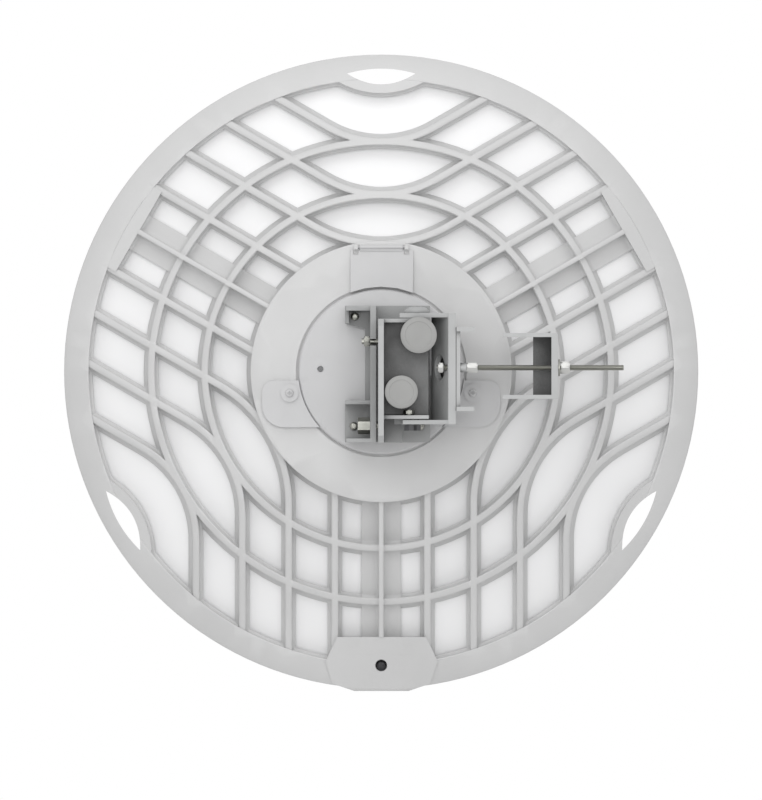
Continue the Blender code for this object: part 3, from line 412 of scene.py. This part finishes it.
def circle(centre, radius, steps):
    angles = [2 * math.pi * step / steps for step in range(steps)]
    return [(centre[0] + radius * math.cos(a), centre[1] + radius * math.sin(a)) for a in angles]


def rectangle(left, right, bottom, top):
    return [(left, bottom), (right, bottom), (right, top), (left, top)]


def ribbon(points, width):
    """The outline of a strip of even width along a line."""
    left = []
    right = []
    for index, point in enumerate(points):
        before = points[max(index - 1, 0)]
        after = points[min(index + 1, len(points) - 1)]
        course = Vector((after[0] - before[0], after[1] - before[1])).normalized()
        left.append((point[0] - course.y * width / 2, point[1] + course.x * width / 2))
        right.append((point[0] + course.y * width / 2, point[1] - course.x * width / 2))
    return right + left[::-1]


def turned_plan(points, angle):
    """Plan points drawn for a sector or strut that points up, turned to point at an angle."""
    cosine = math.cos(angle)
    sine = math.sin(angle)
    return [(x * sine + y * cosine, -x * cosine + y * sine) for x, y in points]


def rib_bend(number, radius, sweep):
    """The arc over the middle of a sector, round the centre of a rib's fillet."""
    apex = number * RIB_PITCH / math.sin(CORNER)
    centre = apex + RIB_FILLETS[number - 1] / math.sin(CORNER)
    turns = [sweep * step / BEND_STEPS for step in range(-BEND_STEPS, BEND_STEPS + 1)]
    return [(radius * math.sin(t), centre - radius * math.cos(t)) for t in turns]


def sector_rib(number):
    """The middle line of a rib: parallel to one strut, bent over, and parallel to the other."""
    apex = number * RIB_PITCH / math.sin(CORNER)
    fillet = RIB_FILLETS[number - 1]
    bend = rib_bend(number, fillet, math.radians(30))
    far = (math.sqrt(4 * RIB_REACH**2 - 3 * apex**2) - apex) / 2
    near = fillet / math.tan(CORNER)
    ends = []
    for step in (1, 2, 3, 4):
        length = near + (far - near) * step / 4
        ends.append((length * math.sin(CORNER), apex + length / 2))
    return [(-x, y) for x, y in reversed(ends)] + bend + ends


def strut_outline(angle, near, far, half_width, steps=1):
    """A rectangle across a strut between two distances from the dish's axis."""
    across = [half_width * (2 * step / steps - 1) for step in range(steps + 1)]
    corners = [(u, near) for u in across] + [(u, far) for u in reversed(across)]
    return turned_plan(corners, angle)


def rim_bulge():
    """The outline of the rim's widening round a slot, as far as the rim's middle."""
    inner = rib_bend(5, RIB_FILLETS[4] + 2 * MM, math.radians(36))
    inner = [point for point in inner if math.hypot(*point) < RIB_REACH]
    return inner + [(0, RIM_INNER + 12 * MM)]


def slot_outline(margin=0.0):
    """A slot of the rim, between a shallow arch and a deeper one that meet at its pointed ends."""
    ends = SLOT_HALF + margin
    outer_top, inner_top, end_height = SLOT_HEIGHTS

    def arch(top, shares):
        return [(ends * s, end_height + (top - end_height) * (1 - s * s)) for s in shares]

    steps = [step / 10 for step in range(-10, 11)]
    return arch(outer_top + margin, steps) + arch(inner_top - margin, steps[1:-1])[::-1]


# --- solids --------------------------------------------------------------------------------------


def bowl(u, v):
    """Height of the reflector's back."""
    return VERTEX_Y + (u * u + v * v) / (4 * FOCAL_LENGTH)


def counter_clockwise(points):
    area = sum(a[0] * b[1] - b[0] * a[1] for a, b in zip(points, points[1:] + points[:1]))
    return points if area > 0 else points[::-1]


def layered(loops, surfaces, to_world):
    """A closed solid over a plan: loops are (tag, outline) pairs, and surfaces(tags) gives the pair
    of functions for its two sides where those outlines overlap, or None where it is open."""
    points = []
    faces = []
    for _, outline in loops:
        outline = counter_clockwise(outline)
        faces.append(list(range(len(points), len(points) + len(outline))))
        points += [Vector(point) for point in outline]
    plan, _, cells, _, _, owners = geometry.delaunay_2d_cdt(points, [], faces, 1, 1e-6)

    sides = {}
    for index, cell in enumerate(cells):
        pair = surfaces({loops[owner][0] for owner in owners[index]})
        if pair:
            sides[index] = [{v: side(*plan[v]) for v in cell} for side in pair]

    levels = {}
    edges = {}
    for index, (low, high) in sides.items():
        cell = cells[index]
        for v in cell:
            levels.setdefault(v, set()).update((low[v], high[v]))
        for a, b in zip(cell, cell[1:] + cell[:1]):
            edges.setdefault(frozenset((a, b)), []).append(index)

    builder = bmesh.new()
    made = {}

    def vertex(v, height):
        key = (v, round(height * 1e7))
        if key not in made:
            made[key] = builder.verts.new(to_world(plan[v][0], plan[v][1], height))
        return made[key]

    def column(v, start, end):
        low = min(start, end)
        high = max(start, end)
        heights = sorted(h for h in levels[v] if low - 1e-9 <= h <= high + 1e-9)
        return [vertex(v, h) for h in (heights if start <= end else heights[::-1])]

    def wall(a, b, one, other):
        corners = column(a, one[a], other[a]) + column(b, other[b], one[b])
        corners = list(dict.fromkeys(corners))
        if len(corners) > 2:
            builder.faces.new(corners)

    for index, (low, high) in sides.items():
        builder.faces.new([vertex(v, low[v]) for v in cells[index]])
        builder.faces.new([vertex(v, high[v]) for v in cells[index]])
    for edge, users in edges.items():
        a, b = edge
        first = sides[users[0]]
        if len(users) == 1:
            wall(a, b, first[0], first[1])
            continue
        second = sides[users[1]]
        for one, other in zip(first, second):
            if abs(one[a] - other[a]) > 1e-7 or abs(one[b] - other[b]) > 1e-7:
                wall(a, b, one, other)
    return builder


def along(axis):
    """Turns a plan point and a height along an axis into a place in the frame."""
    if axis == "x":
        return lambda a, b, height: (height, a, b)
    if axis == "y":
        return lambda a, b, height: (a, height, b)
    return lambda a, b, height: (a, b, height)


def flat(height):
    return lambda a, b: height


def plate(axis, low, high, outline):
    sides = (flat(low), flat(high))
    return layered([("plate", outline)], lambda tags: sides, along(axis))


def ring(builder, to_world, centre, height, reaches):
    """Vertices round a centre at even turns, each at its own reach."""
    vertices = []
    for step, reach in enumerate(reaches):
        turn = 2 * math.pi * step / len(reaches)
        a = centre[0] + reach * math.cos(turn)
        b = centre[1] + reach * math.sin(turn)
        vertices.append(builder.verts.new(to_world(a, b, height)))
    return vertices


def join_rings(builder, pairs, steps):
    """Faces between each pair of rings, where a ring of one vertex closes to a point."""
    for lower, upper in pairs:
        for step in range(steps):
            following = (step + 1) % steps
            corners = [lower[step % len(lower)], lower[following % len(lower)]]
            corners += [upper[following % len(upper)], upper[step % len(upper)]]
            builder.faces.new(list(dict.fromkeys(corners)))


def turned(axis, centre, profile, steps=96):
    """A solid turned from a profile of (radius, height), closed on the axis or back to its start."""
    builder = bmesh.new()
    to_world = along(axis)
    rings = []
    for radius, height in profile:
        reaches = [radius] * steps if radius > 0 else [0]
        rings.append(ring(builder, to_world, centre, height, reaches))
    pairs = list(zip(rings, rings[1:]))
    if profile[0][0] > 0:
        pairs.append((rings[-1], rings[0]))
    join_rings(builder, pairs, steps)
    return builder


def dish_plan(u, v, height):
    return (DISH_X + u, height, DISH_Z + v)


def axis_of(node, axis):
    """The centre of a node's box in the plan across an axis."""
    low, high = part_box(node)
    centre = (low + high) / 2
    return [centre[i] for i in range(3) if "xyz"[i] != axis]


# --- dish ----------------------------------------------------------------------------------------


def add_reflector():
    loops = [("skin", circle((0, 0), SKIN_RADIUS, 144))]
    for step in range(13):
        loops.append(("level", circle((0, 0), (84 + 18.5 * step) * MM, 96)))
    loops.append(("open", circle((0, 0), SKIN_OPENING, 72)))
    for angle in SECTOR_ANGLES:
        loops.append(("open", turned_plan(slot_outline(1.5 * MM), angle)))

    def surfaces(tags):
        return None if "open" in tags else (bowl, lambda u, v: bowl(u, v) + SKIN)

    skin = layered(loops, surfaces, dish_plan)
    show("reflector_skin", skin, "reflector_metal", "dish_head", ["reflector"])


def frame_loops():
    """The lattice's plan: a "level" loop only adds points, so that a curved surface follows them."""
    loops = [("outline", circle((0, 0), DISH_RADIUS, 144))]
    foot = [(-50, -320), (-27.5, -327.4), (28, -327.4), (50, -320)]
    foot += [(58, -297), (46, -272), (-45, -272), (-57, -297)]
    loops.append(("foot", [(u * MM, v * MM) for u, v in foot]))
    loops.append(("rim_inner", circle((0, 0), RIM_INNER, 120)))
    for radius in (148, 163, 197, 213, 252, 268, 284):
        loops.append(("level", circle((0, 0), radius * MM, 72)))
    for radius in (DISH_RADIUS - ROUNDING, RIM_INNER + MM, HUB_RADIUS - ROUNDING):
        loops.append(("level", circle((0, 0), radius, 144)))
    for radius in RING_RADII:
        half = RIB_WIDTH / 2
        loops.append((f"ring_{radius}", circle((0, 0), radius + half, 96)))
        loops.append((f"inside_{radius}", circle((0, 0), radius - half, 96)))
        loops.append(("level", circle((0, 0), radius + half - ROUNDING, 96)))
        loops.append(("level", circle((0, 0), radius - half + ROUNDING, 96)))
        for reach in FLARE_STEPS:
            last = reach == FLARE_STEPS[-1]
            outer = circle((0, 0), radius + half + reach, 96)
            inner = circle((0, 0), radius - half - reach, 96)
            loops.append((f"flare_{radius}" if last else "level", outer))
            loops.append((f"flare_inside_{radius}" if last else "level", inner))
    for reach in FLARE_STEPS:
        loops.append(("flare", circle((0, 0), HUB_RADIUS + reach, 96)))
        loops.append((f"rim_flare_{reach}", circle((0, 0), RIM_INNER - reach, 120)))
    for line, half in rib_lines():
        for reach in FLARE_STEPS:
            loops.append(("flare", ribbon(line, 2 * (half + reach))))
    for angle in SECTOR_ANGLES:
        for number in RIB_NUMBERS:
            rib = turned_plan(sector_rib(number), angle)
            loops.append(("rib", ribbon(rib, RIB_WIDTH)))
            loops.append(("level", ribbon(rib, RIB_WIDTH - 2 * ROUNDING)))
        loops.append(("bulge", turned_plan(rim_bulge(), angle)))
        loops.append(("open", turned_plan(slot_outline(), angle)))
    for angle in STRUT_ANGLES:
        loops.append(("bulge", strut_outline(angle, *RIM_STRAIGHTS, RIB_PITCH, 6)))
        loops.append(("blade", strut_outline(angle, *BLADE_ENDS, BLADE_HALF)))
        loops.append(("level", strut_outline(angle, *BLADE_ENDS, BLADE_TOP_HALF)))
        loops.append(("flank", strut_outline(angle, *FLANK_ENDS, FLANK_HALF)))
    loops.append(("hub", circle((0, 0), HUB_RADIUS, 96)))
    loops.append(("open", circle((0, 0), HUB_BORE, 72)))
    loops.append(("groove", circle((0, 0), GROOVE_RADII[1], 120)))
    loops.append(("groove_core", circle((0, 0), GROOVE_RADII[0], 120)))
    loops.append(("bay", rectangle(*BAY)))
    for side in (-1, 1):
        loops.append(("open", circle((side * EAR_BOSS[0], EAR_BOSS[1]), BOSS_BORE, 12)))
        lug = rectangle(-2 * MM, 2 * MM, 125.2 * MM, 130.5 * MM)
        loops.append(("lug", [(u + side * 26 * MM, v) for u, v in lug]))
    loops.append(("button_guide", circle(BUTTON, 4.2 * MM, 24)))
    loops.append(("button_well", circle(BUTTON, 2.7 * MM, 24)))
    loops.append(("counterbore", circle(FOOT_HOLE, 6.2 * MM, 32)))
    loops.append(("open", circle(FOOT_HOLE, M5_HOLE, 16)))
    return loops


def rib_lines():
    """The middle line and half width of each rib and blade, and of each edge where the rim widens."""
    lines = []
    for angle in SECTOR_ANGLES:
        for number in RIB_NUMBERS:
            lines.append((turned_plan(sector_rib(number), angle), RIB_WIDTH / 2))
        lines.append((turned_plan(rim_bulge()[:-1], angle), 0))
    for angle in STRUT_ANGLES:
        blade = [(0, BLADE_ENDS[0]), (0, BLADE_ENDS[1])]
        lines.append((turned_plan(blade, angle), BLADE_HALF))
        edge = [(u, RIM_STRAIGHTS[0]) for u in (-RIB_PITCH, 0, RIB_PITCH)]
        lines.append((turned_plan(edge, angle), 0))
    return lines


@functools.cache
def rib_segments():
    """Start and step of each segment of the lines, each line's first segment, and the half widths."""
    starts = []
    steps = []
    firsts = []
    halves = []
    for line, half in rib_lines():
        firsts.append(len(starts))
        halves.append(half)
        for a, b in zip(line, line[1:]):
            starts.append(a)
            steps.append((b[0] - a[0], b[1] - a[1]))
    return np.array(starts), np.array(steps), firsts, np.array(halves)


@functools.cache
def wall_gaps(u, v):
    """How far a plan point lies outside the wall of each rib, ring, hub and rim: negative inside."""
    starts, steps, firsts, halves = rib_segments()
    offset = np.array([u, v]) - starts
    share = np.clip((offset * steps).sum(1) / (steps**2).sum(1), 0, 1)
    distance = np.linalg.norm(offset - share[:, None] * steps, axis=1)
    radius = math.hypot(u, v)
    gaps = list(np.minimum.reduceat(distance, firsts) - halves)
    gaps += [abs(radius - ring) - RIB_WIDTH / 2 for ring in RING_RADII]
    return gaps + [RIM_INNER - radius, radius - HUB_RADIUS]


def flare(u, v):
    """Height of the flared feet of the ribs round a plan point."""
    reach = FLARE_STEPS[-1]
    shares = [max(0, 1 - max(gap, 0) / reach) ** 2 for gap in wall_gaps(u, v)]
    return min(FLARE * sum(shares), 1.5 * FLARE)


def eased(distance, width):
    """How far a surface drops at a distance from its rounded edge."""
    return width * max(0.0, 1 - distance / width) ** 2


def add_rib_frame():
    def front(u, v):
        return bowl(u, v) - SKIN_GAP

    def raised(height):
        return lambda u, v: front(u, v) - height

    def hub(u, v):
        return HUB_Y + eased(HUB_RADIUS - math.hypot(u, v), ROUNDING)

    def rim(u, v):
        radius = math.hypot(u, v)
        drop = eased(DISH_RADIUS - radius, ROUNDING) + eased(abs(radius - RIM_INNER), MM)
        return front(u, v) - RIM_HEIGHT + drop

    def tapered(near, fall):
        def back(u, v):
            share = (math.hypot(u, v) - HUB_RADIUS) / (RIM_INNER - HUB_RADIUS)
            inside = -min(wall_gaps(u, v)[:-2])
            return front(u, v) - (near - fall * share) + eased(inside, ROUNDING)

        return back

    def flank(u, v):
        return front(u, v) - FLANK_HEIGHT - 0.6 * flare(u, v)

    def web(u, v):
        return front(u, v) - WEB_HEIGHT - flare(u, v)

    backs = [
        ("counterbore", flat(212 * MM)),
        ("button_well", flat(BAY_FLOOR)),
        ("button_guide", flat(BAY_FLOOR - 3.5 * MM)),
        ("bay", flat(BAY_FLOOR)),
        ("lug", flat(HUB_Y - 6 * MM)),
        ("groove_floor", flat(HUB_Y + GROOVE_DEPTH)),
        ("hub", hub),
        ("foot", raised(FOOT_HEIGHT)),
        ("rim", rim),
        ("bulge", raised(RIM_HEIGHT)),
        ("blade", tapered(*BLADE_HEIGHTS)),
        ("rib", tapered(*RIB_HEIGHTS)),
        ("flank", flank),
        ("flare", web),
    ]

    def surfaces(tags):
        if "open" in tags or not tags & {"outline", "foot"}:
            return None
        found = set(tags)
        if "outline" in tags and "rim_inner" not in tags:
            found.add("rim")
        if "groove" in tags and "groove_core" not in tags:
            found.add("groove_floor")
        if f"rim_flare_{FLARE_STEPS[-1]}" not in tags:
            found.add("flare")
        for radius in RING_RADII:
            if f"ring_{radius}" in tags and f"inside_{radius}" not in tags:
                found.add("rib")
            if f"flare_{radius}" in tags and f"flare_inside_{radius}" not in tags:
                found.add("flare")
        for name, back in backs:
            if name in found:
                return back, front
        return None

    lattice = layered(frame_loops(), surfaces, dish_plan)
    piece = show("lattice_frame", lattice, "frame_plastic", "dish_head", ["rib_frame"])
    smooth(piece.data, math.radians(50))


def dome(u, v):
    """Height of the rear cover's slightly convex back."""
    drop = 1.4 * eased(HOUSING_RADIUS - math.hypot(u, v), 2 * MM)
    return HUB_Y - 12 * MM + 7 * MM * (u * u + v * v) / HOUSING_RADIUS**2 + drop


def ear_outline(side):
    """An ear of the rear cover, with its two outer corners rounded."""
    near, far = EAR_SPAN
    outline = [(near, EAR_BOTTOM[0])]
    for (height, radius), first_turn, rise in ((EAR_BOTTOM, -90, 1), (EAR_TOP, 0, -1)):
        centre = (far - radius, height + rise * radius)
        for step in range(9):
            turn = math.radians(first_turn + 90 * step / 8)
            outline.append((centre[0] + radius * math.cos(turn), centre[1] + radius * math.sin(turn)))
    outline.append((near, EAR_TOP[0]))
    return [(side * u, v) for u, v in outline]


def add_rear_housing():
    loops = [("disc", circle((0, 0), HOUSING_RADIUS, 120))]
    loops.append(("inside", circle((0, 0), HOUSING_INSIDE, 96)))
    for radius in (15, 30, 45, 60, 83, 84):
        loops.append(("level", circle((0, 0), radius * MM, 120)))
    for side in (-1, 1):
        boss = (side * EAR_BOSS[0], EAR_BOSS[1])
        loops.append(("ear", ear_outline(side)))
        loops.append(("boss", circle(boss, BOSS_RADIUS, 48)))
        loops.append(("open", circle(boss, BOSS_BORE, 24)))
    for place in BRACKET_SCREWS:
        loops.append(("pad", circle(place, PAD_RADIUS, 36)))
        loops.append(("open", circle(place, M5_HOLE, 16)))
    loops.append(("open", circle(STATUS_LIGHT, STATUS_BORE, 24)))

    def inner_wall(u, v):
        return dome(u, v) + HOUSING_WALL

    def surfaces(tags):
        if "open" in tags:
            return None
        if "pad" in tags:
            back = flat(PAD_BACK)
        elif "disc" in tags:
            back = dome
        elif "boss" in tags:
            back = flat(EAR_BACK - 2 * MM)
        else:
            back = flat(EAR_BACK)
        if "inside" not in tags:
            return back, flat(HOUSING_FRONT)
        return back, (flat(EAR_BACK) if "pad" in tags else inner_wall)

    shell = layered(loops, surfaces, dish_plan)
    show("rear_cover", shell, "housing_plastic", "dish_head", ["rear_housing"], 0.8 * MM, 3)


def add_feed():
    axis = (DISH_X, DISH_Z)
    shell = [(80, 128.4), (79, 133), (50, 144), (20, 156), (12.5, 156), (12.5, 153), (19, 153)]
    shell += [(49, 141), (76, 131), (76, 128.4)]
    turned_piece("front_housing", "y", axis, shell, bevel=0.6 * MM)
    turned_piece("feed_tube", "y", axis, [(9.5, 119), (9.5, 300), (7, 300), (7, 119)])
    cone = [(0, 290), (6.5, 290), (6.5, 300.4), (10, 300.4), (27, 319), (0, 319)]
    turned_piece("feed_cone", "y", axis, cone)
    turned_piece("sub_reflector", "y", axis, [(0, 319.4), (29, 319.4), (29, 322.4), (0, 322.4)])
    cap = [(0, 326.5), (31, 326.5), (33.5, 324.5), (33.5, 296), (30.5, 296), (30.5, 324), (0, 324)]
    turned_piece("feed_cap", "y", axis, cap, bevel=0.5 * MM)


# --- screws, nuts, knobs and rods ----------------------------------------------------------------


def thread_rise(phase):
    """The thread's height, from 0 to 1, at a share of its pitch: straight flanks up and down."""
    profile = (0.0, 0.5, 1.0, 0.5)
    place = phase * len(profile)
    low = int(place) % len(profile)
    share = place - int(place)
    return profile[low] * (1 - share) + profile[(low + 1) % len(profile)] * share


def thread(name, axis, centre, start, end, radius, depth, body, replaces=()):
    """A shaft with a helical thread between start and end, fading out over three rows at each end."""
    builder = bmesh.new()
    to_world = along(axis)
    steps = 18
    fade = 3
    count = int((end - start) / PITCH * ROWS_PER_PITCH)
    rings = []
    for row in range(count + 1):
        height = start + (end - start) * row / count
        share = min(row, count - row, fade) / fade
        rises = [thread_rise((height / PITCH - step / steps) % 1.0) for step in range(steps)]
        reaches = [radius - depth + depth * (share * rise) for rise in rises]
        rings.append(ring(builder, to_world, centre, height, reaches))
    join_rings(builder, zip(rings, rings[1:]), steps)
    builder.faces.new(rings[0][::-1])
    builder.faces.new(rings[-1])
    show(name, builder, "plated_steel", body, replaces)


def add_rods():
    for word in ("front", "back"):
        node = f"clamp_rod_{word}"
        low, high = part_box(node)
        centre = axis_of(node, "x")
        name = f"threaded_rod_{word}"
        thread(name, "x", centre, low.x, high.x, M6_RADIUS, M6_THREAD, "root", [node])


def hexagon(across, turn):
    """Reach of a hexagon's side at a turn."""
    inside = (turn + math.pi / 6) % (math.pi / 3) - math.pi / 6
    return across / 2 / math.cos(math.pi / 6 - abs(inside))


def hexagon_nut(node, axis, across):
    """A nut with its corners turned off at both faces and a bore through it."""
    low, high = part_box(node)
    index = "xyz".index(axis)
    start = low[index]
    end = high[index]
    steps = 48
    lead_in = 0.4 * MM  # of the bore
    chamfer = 0.09 * across
    sides = [hexagon(across, 2 * math.pi * step / steps) for step in range(steps)]
    faced = [min(reach, across / 2 * 0.98) for reach in sides]
    rows = [
        ([NUT_BORE] * steps, start + lead_in),
        ([NUT_BORE + lead_in] * steps, start),
        (faced, start),
        (sides, start + chamfer),
        (sides, end - chamfer),
        (faced, end),
        ([NUT_BORE + lead_in] * steps, end),
        ([NUT_BORE] * steps, end - lead_in),
    ]
    builder = bmesh.new()
    centre = axis_of(node, axis)
    rings = [ring(builder, along(axis), centre, height, reaches) for reaches, height in rows]
    join_rings(builder, zip(rings, rings[1:] + rings[:1]), steps)
    show(node + "_hex", builder, slot_of[node], body_of[node], [node])


def add_nuts():
    for word in ("front", "back"):
        hexagon_nut(f"rod_end_nut_{word}", "x", 10 * MM)
        hexagon_nut(f"jaw_nut_{word}", "x", 10 * MM)
        hexagon_nut(f"clamp_nut_{word}", "x", 12.6 * MM)
    hexagon_nut("azimuth_pivot_top_nut", "z", 10.4 * MM)
    hexagon_nut("azimuth_pivot_bottom_nut", "z", 10 * MM)
    hexagon_nut("azimuth_lock_nut", "z", 10 * MM)
    hexagon_nut("elevation_lock_nut", "x", 10.4 * MM)


def cross(centre, length, width):
    """A cross's outline, by half its length and half its arms' width."""
    outline = []
    for turn in range(4):
        for a, b in ((length, width), (width, width), (width, length)):
            for _ in range(turn):
                a, b = -b, a
            outline.append((centre[0] + a, centre[1] + b))
    return outline


def pan_screw(node, shank, head_height):
    """A turned pan head with a cross recess, on the node's own axis and length."""
    low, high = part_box(node)
    centre = axis_of(node, "y")
    radius = (high.x - low.x) / 2 / math.cos(math.pi / 10)
    crown = [(0, 0), (0.45, 0.02), (0.7, 0.1), (0.88, 0.3), (0.97, 0.55), (1, 0.8), (1, 1)]
    profile = [(radius * r, low.y + head_height * h) for r, h in crown]
    profile += [(shank, low.y + head_height), (shank, high.y), (0, high.y)]
    screw = turned("y", centre, profile, 32)
    piece = show(node + "_pan", screw, slot_of[node], body_of[node], [node])
    recess = cross(centre, 0.5 * radius, 0.13 * radius)
    cut(piece, plate("y", low.y - 2 * MM, low.y + 0.6 * head_height, recess))


def add_small_screws():
    for number in (1, 2, 3, 4):
        pan_screw(f"bracket_screw_{number}", 2.1 * MM, 3.1 * MM)
    for word in ("left", "right"):
        pan_screw(f"housing_screw_{word}", 1.8 * MM, 2.5 * MM)
    pan_screw("foot_screw", 2.2 * MM, 3.1 * MM)
    pan_screw("ground_screw", 2 * MM, 3 * MM)


def add_knobs():
    ridges = 64
    steps = ridges * 4
    knurl_depth = 0.35 * MM
    # share of the radius, 1 where it is knurled, and height in ninths of the knob's
    rows = [(0.0, 0, 0.35), (0.72, 0, 0.35), (0.74, 0, 0), (0.93, 0, 0), (0.985, 0, 0.5)]
    rows += [(1.0, 1, 1.3), (1.0, 1, 8.2), (0.985, 0, 9.0), (0.0, 0, 9.0)]
    for name in ("elevation", "azimuth"):
        node = name + "_knob"
        low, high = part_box(node)
        radius = (high.x - low.x) / 2
        builder = bmesh.new()
        rings = []
        for share, knurled, ninths in rows:
            height = low.y + ninths * (high.y - low.y) / 9
            reaches = []
            for step in range(steps if share else 1):
                turn = 2 * math.pi * step / steps
                dip = knurl_depth * knurled * (0.5 - 0.5 * math.cos(ridges * turn))
                reaches.append(radius * share - dip)
            rings.append(ring(builder, along("y"), axis_of(node, "y"), height, reaches))
        join_rings(builder, zip(rings, rings[1:]), steps)
        show(node + "_grip", builder, "cap_plastic", body_of[node], [node])


def add_adjusting_threads():
    """A thread round each adjusting screw's shaft, clear of the bore of its swivelling nut."""
    for name, start in (("elevation", -12 * MM), ("azimuth", -13 * MM)):
        node = name + "_screw"
        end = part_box(node)[1].y - 0.5 * MM
        sizes = (ADJUSTER_RADIUS, ADJUSTER_THREAD)
        thread(name + "_thread", "y", axis_of(node, "y"), start, end, *sizes, name + "_knob")


def add_bolts():
    head = [(0, 61), (3.2, 61), (3.8, 62.4), (5, 62.45), (7.5, 62), (10, 60.9), (12, 59), (12.9, 57)]
    head += [(12.9, 56.3), (3, 56.3), (3, 39.8), (0, 39.8)]
    turned_piece("azimuth_pivot_top", "z", axis_of("azimuth_pivot_top", "z"), head, 64)
    for word in ("front", "back"):
        node = f"clamp_washer_{word}"
        low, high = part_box(node)
        start = low.x / MM
        end = high.x / MM
        outer = [(8.7, start + 0.2), (8.7, end - 0.2), (8.5, end)]
        inner = [(3.5, end), (3.4, start), (8.5, start)]
        turned_piece(node, "x", axis_of(node, "x"), outer + inner, 64)


def add_contacts():
    """Sprung contacts inside the network jack."""
    low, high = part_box("ethernet_jack")
    pitch = 1.02 * MM
    side_view = [(3, 11.2), (9, 7.2), (9.4, 7.6), (4.2, 11.6)]  # from the jack's corner
    outline = [(low.y + y * MM, low.z + z * MM) for y, z in side_view]
    for number in range(8):
        x = (low.x + high.x) / 2 + (number - 3.5) * pitch
        strip = plate("x", x - 0.2 * MM, x + 0.2 * MM, outline)
        name = f"jack_contact_{number + 1}"
        show(name, strip, "cast_aluminium", "dish_head", finish="contact_gold")


# --- stage ---------------------------------------------------------------------------------------


def add_camera(scene):
    camera_data = bpy.data.cameras.new("camera")
    camera_data.type = "ORTHO"
    camera_data.ortho_scale = 820 * MM
    camera_data.sensor_width = 36
    camera_data.lens = 85
    camera_data.clip_start = 0.01
    camera_data.clip_end = 80
    camera = bpy.data.objects.new("camera", camera_data)
    camera.location = (-110.2 * MM, -3, -33.1 * MM)
    camera.rotation_euler = (math.radians(90), 0, 0)
    scene.collection.objects.link(camera)
    scene.camera = camera


def add_floor(scene):
    floor_builder = bmesh.new()
    bmesh.ops.create_grid(floor_builder, x_segments=8, y_segments=8, size=25)
    floor_mesh = bpy.data.meshes.new("floor")
    floor_builder.to_mesh(floor_mesh)
    floor_builder.free()
    floor = bpy.data.objects.new("floor", floor_mesh)
    floor.location.z = -0.75
    plastic("floor_paint", (0.8, 0.8, 0.8), 0.01, (0.7, 0.8), 40, 0.1 * MM)
    floor_mesh.materials.append(materials["floor_paint"])
    scene.collection.objects.link(floor)


def add_world(scene):
    """A white sweep behind the object, and soft light from it."""
    world = bpy.data.worlds.new("studio")
    scene.world = world
    world.use_nodes = True
    tree = world.node_tree
    background = tree.nodes["Background"]
    background.inputs["Color"].default_value = (1, 1, 1, 1)
    seen = tree.nodes.new("ShaderNodeLightPath").outputs["Is Camera Ray"]
    strength = tree.nodes.new("ShaderNodeMapRange")
    strength.inputs["To Min"].default_value = 0.76
    strength.inputs["To Max"].default_value = 1.0
    tree.links.new(seen, strength.inputs["Value"])
    tree.links.new(strength.outputs["Result"], background.inputs["Strength"])


def add_lamps(scene):
    lamps = (
        ("key_softbox", (-1.3, -2.1, 1.9), (1.5, 1.5), 5),
        ("top_softbox", (-0.2, -0.9, 2.2), (1.8, 1.8), 9),
        ("front_fill", (-0.1, -6.5, 1.0), (4.8, 4.8), 184),
        ("back_fill", (-0.2, 6.5, 3.6), (3.0, 3.0), 62),
    )
    for name, place, size, power in lamps:
        light = bpy.data.lights.new(name, "AREA")
        light.shape = "RECTANGLE"
        light.size, light.size_y = size
        light.energy = power
        lamp = bpy.data.objects.new(name, light)
        lamp.location = place
        aim = Vector((-0.11, 0.1, 0)) - lamp.location
        lamp.rotation_euler = aim.to_track_quat("-Z", "Y").to_euler()
        scene.collection.objects.link(lamp)


scene = bpy.context.scene
scene.view_settings.view_transform = "Standard"
add_camera(scene)
add_floor(scene)
add_world(scene)
add_lamps(scene)
add_reflector()
add_rib_frame()
add_rear_housing()
add_feed()
add_rods()
add_nuts()
add_small_screws()
add_knobs()
add_adjusting_threads()
add_bolts()
add_contacts()

PLATES = ("hub_bracket", "azimuth_carriage", "mast_bracket", "fixed_jaw", "moving_jaw")
for node in PLATES:
    softened(node, 0.7 * MM)
softened("elevation_pivot_nut", 0.8 * MM, 3)
softened("port_cover", 0.5 * MM)
for node, obj in nodes.items():
    if node not in replaced:
        obj.data.materials.clear()
        obj.data.materials.append(materials[FINISH.get(node, slot_of[node])])
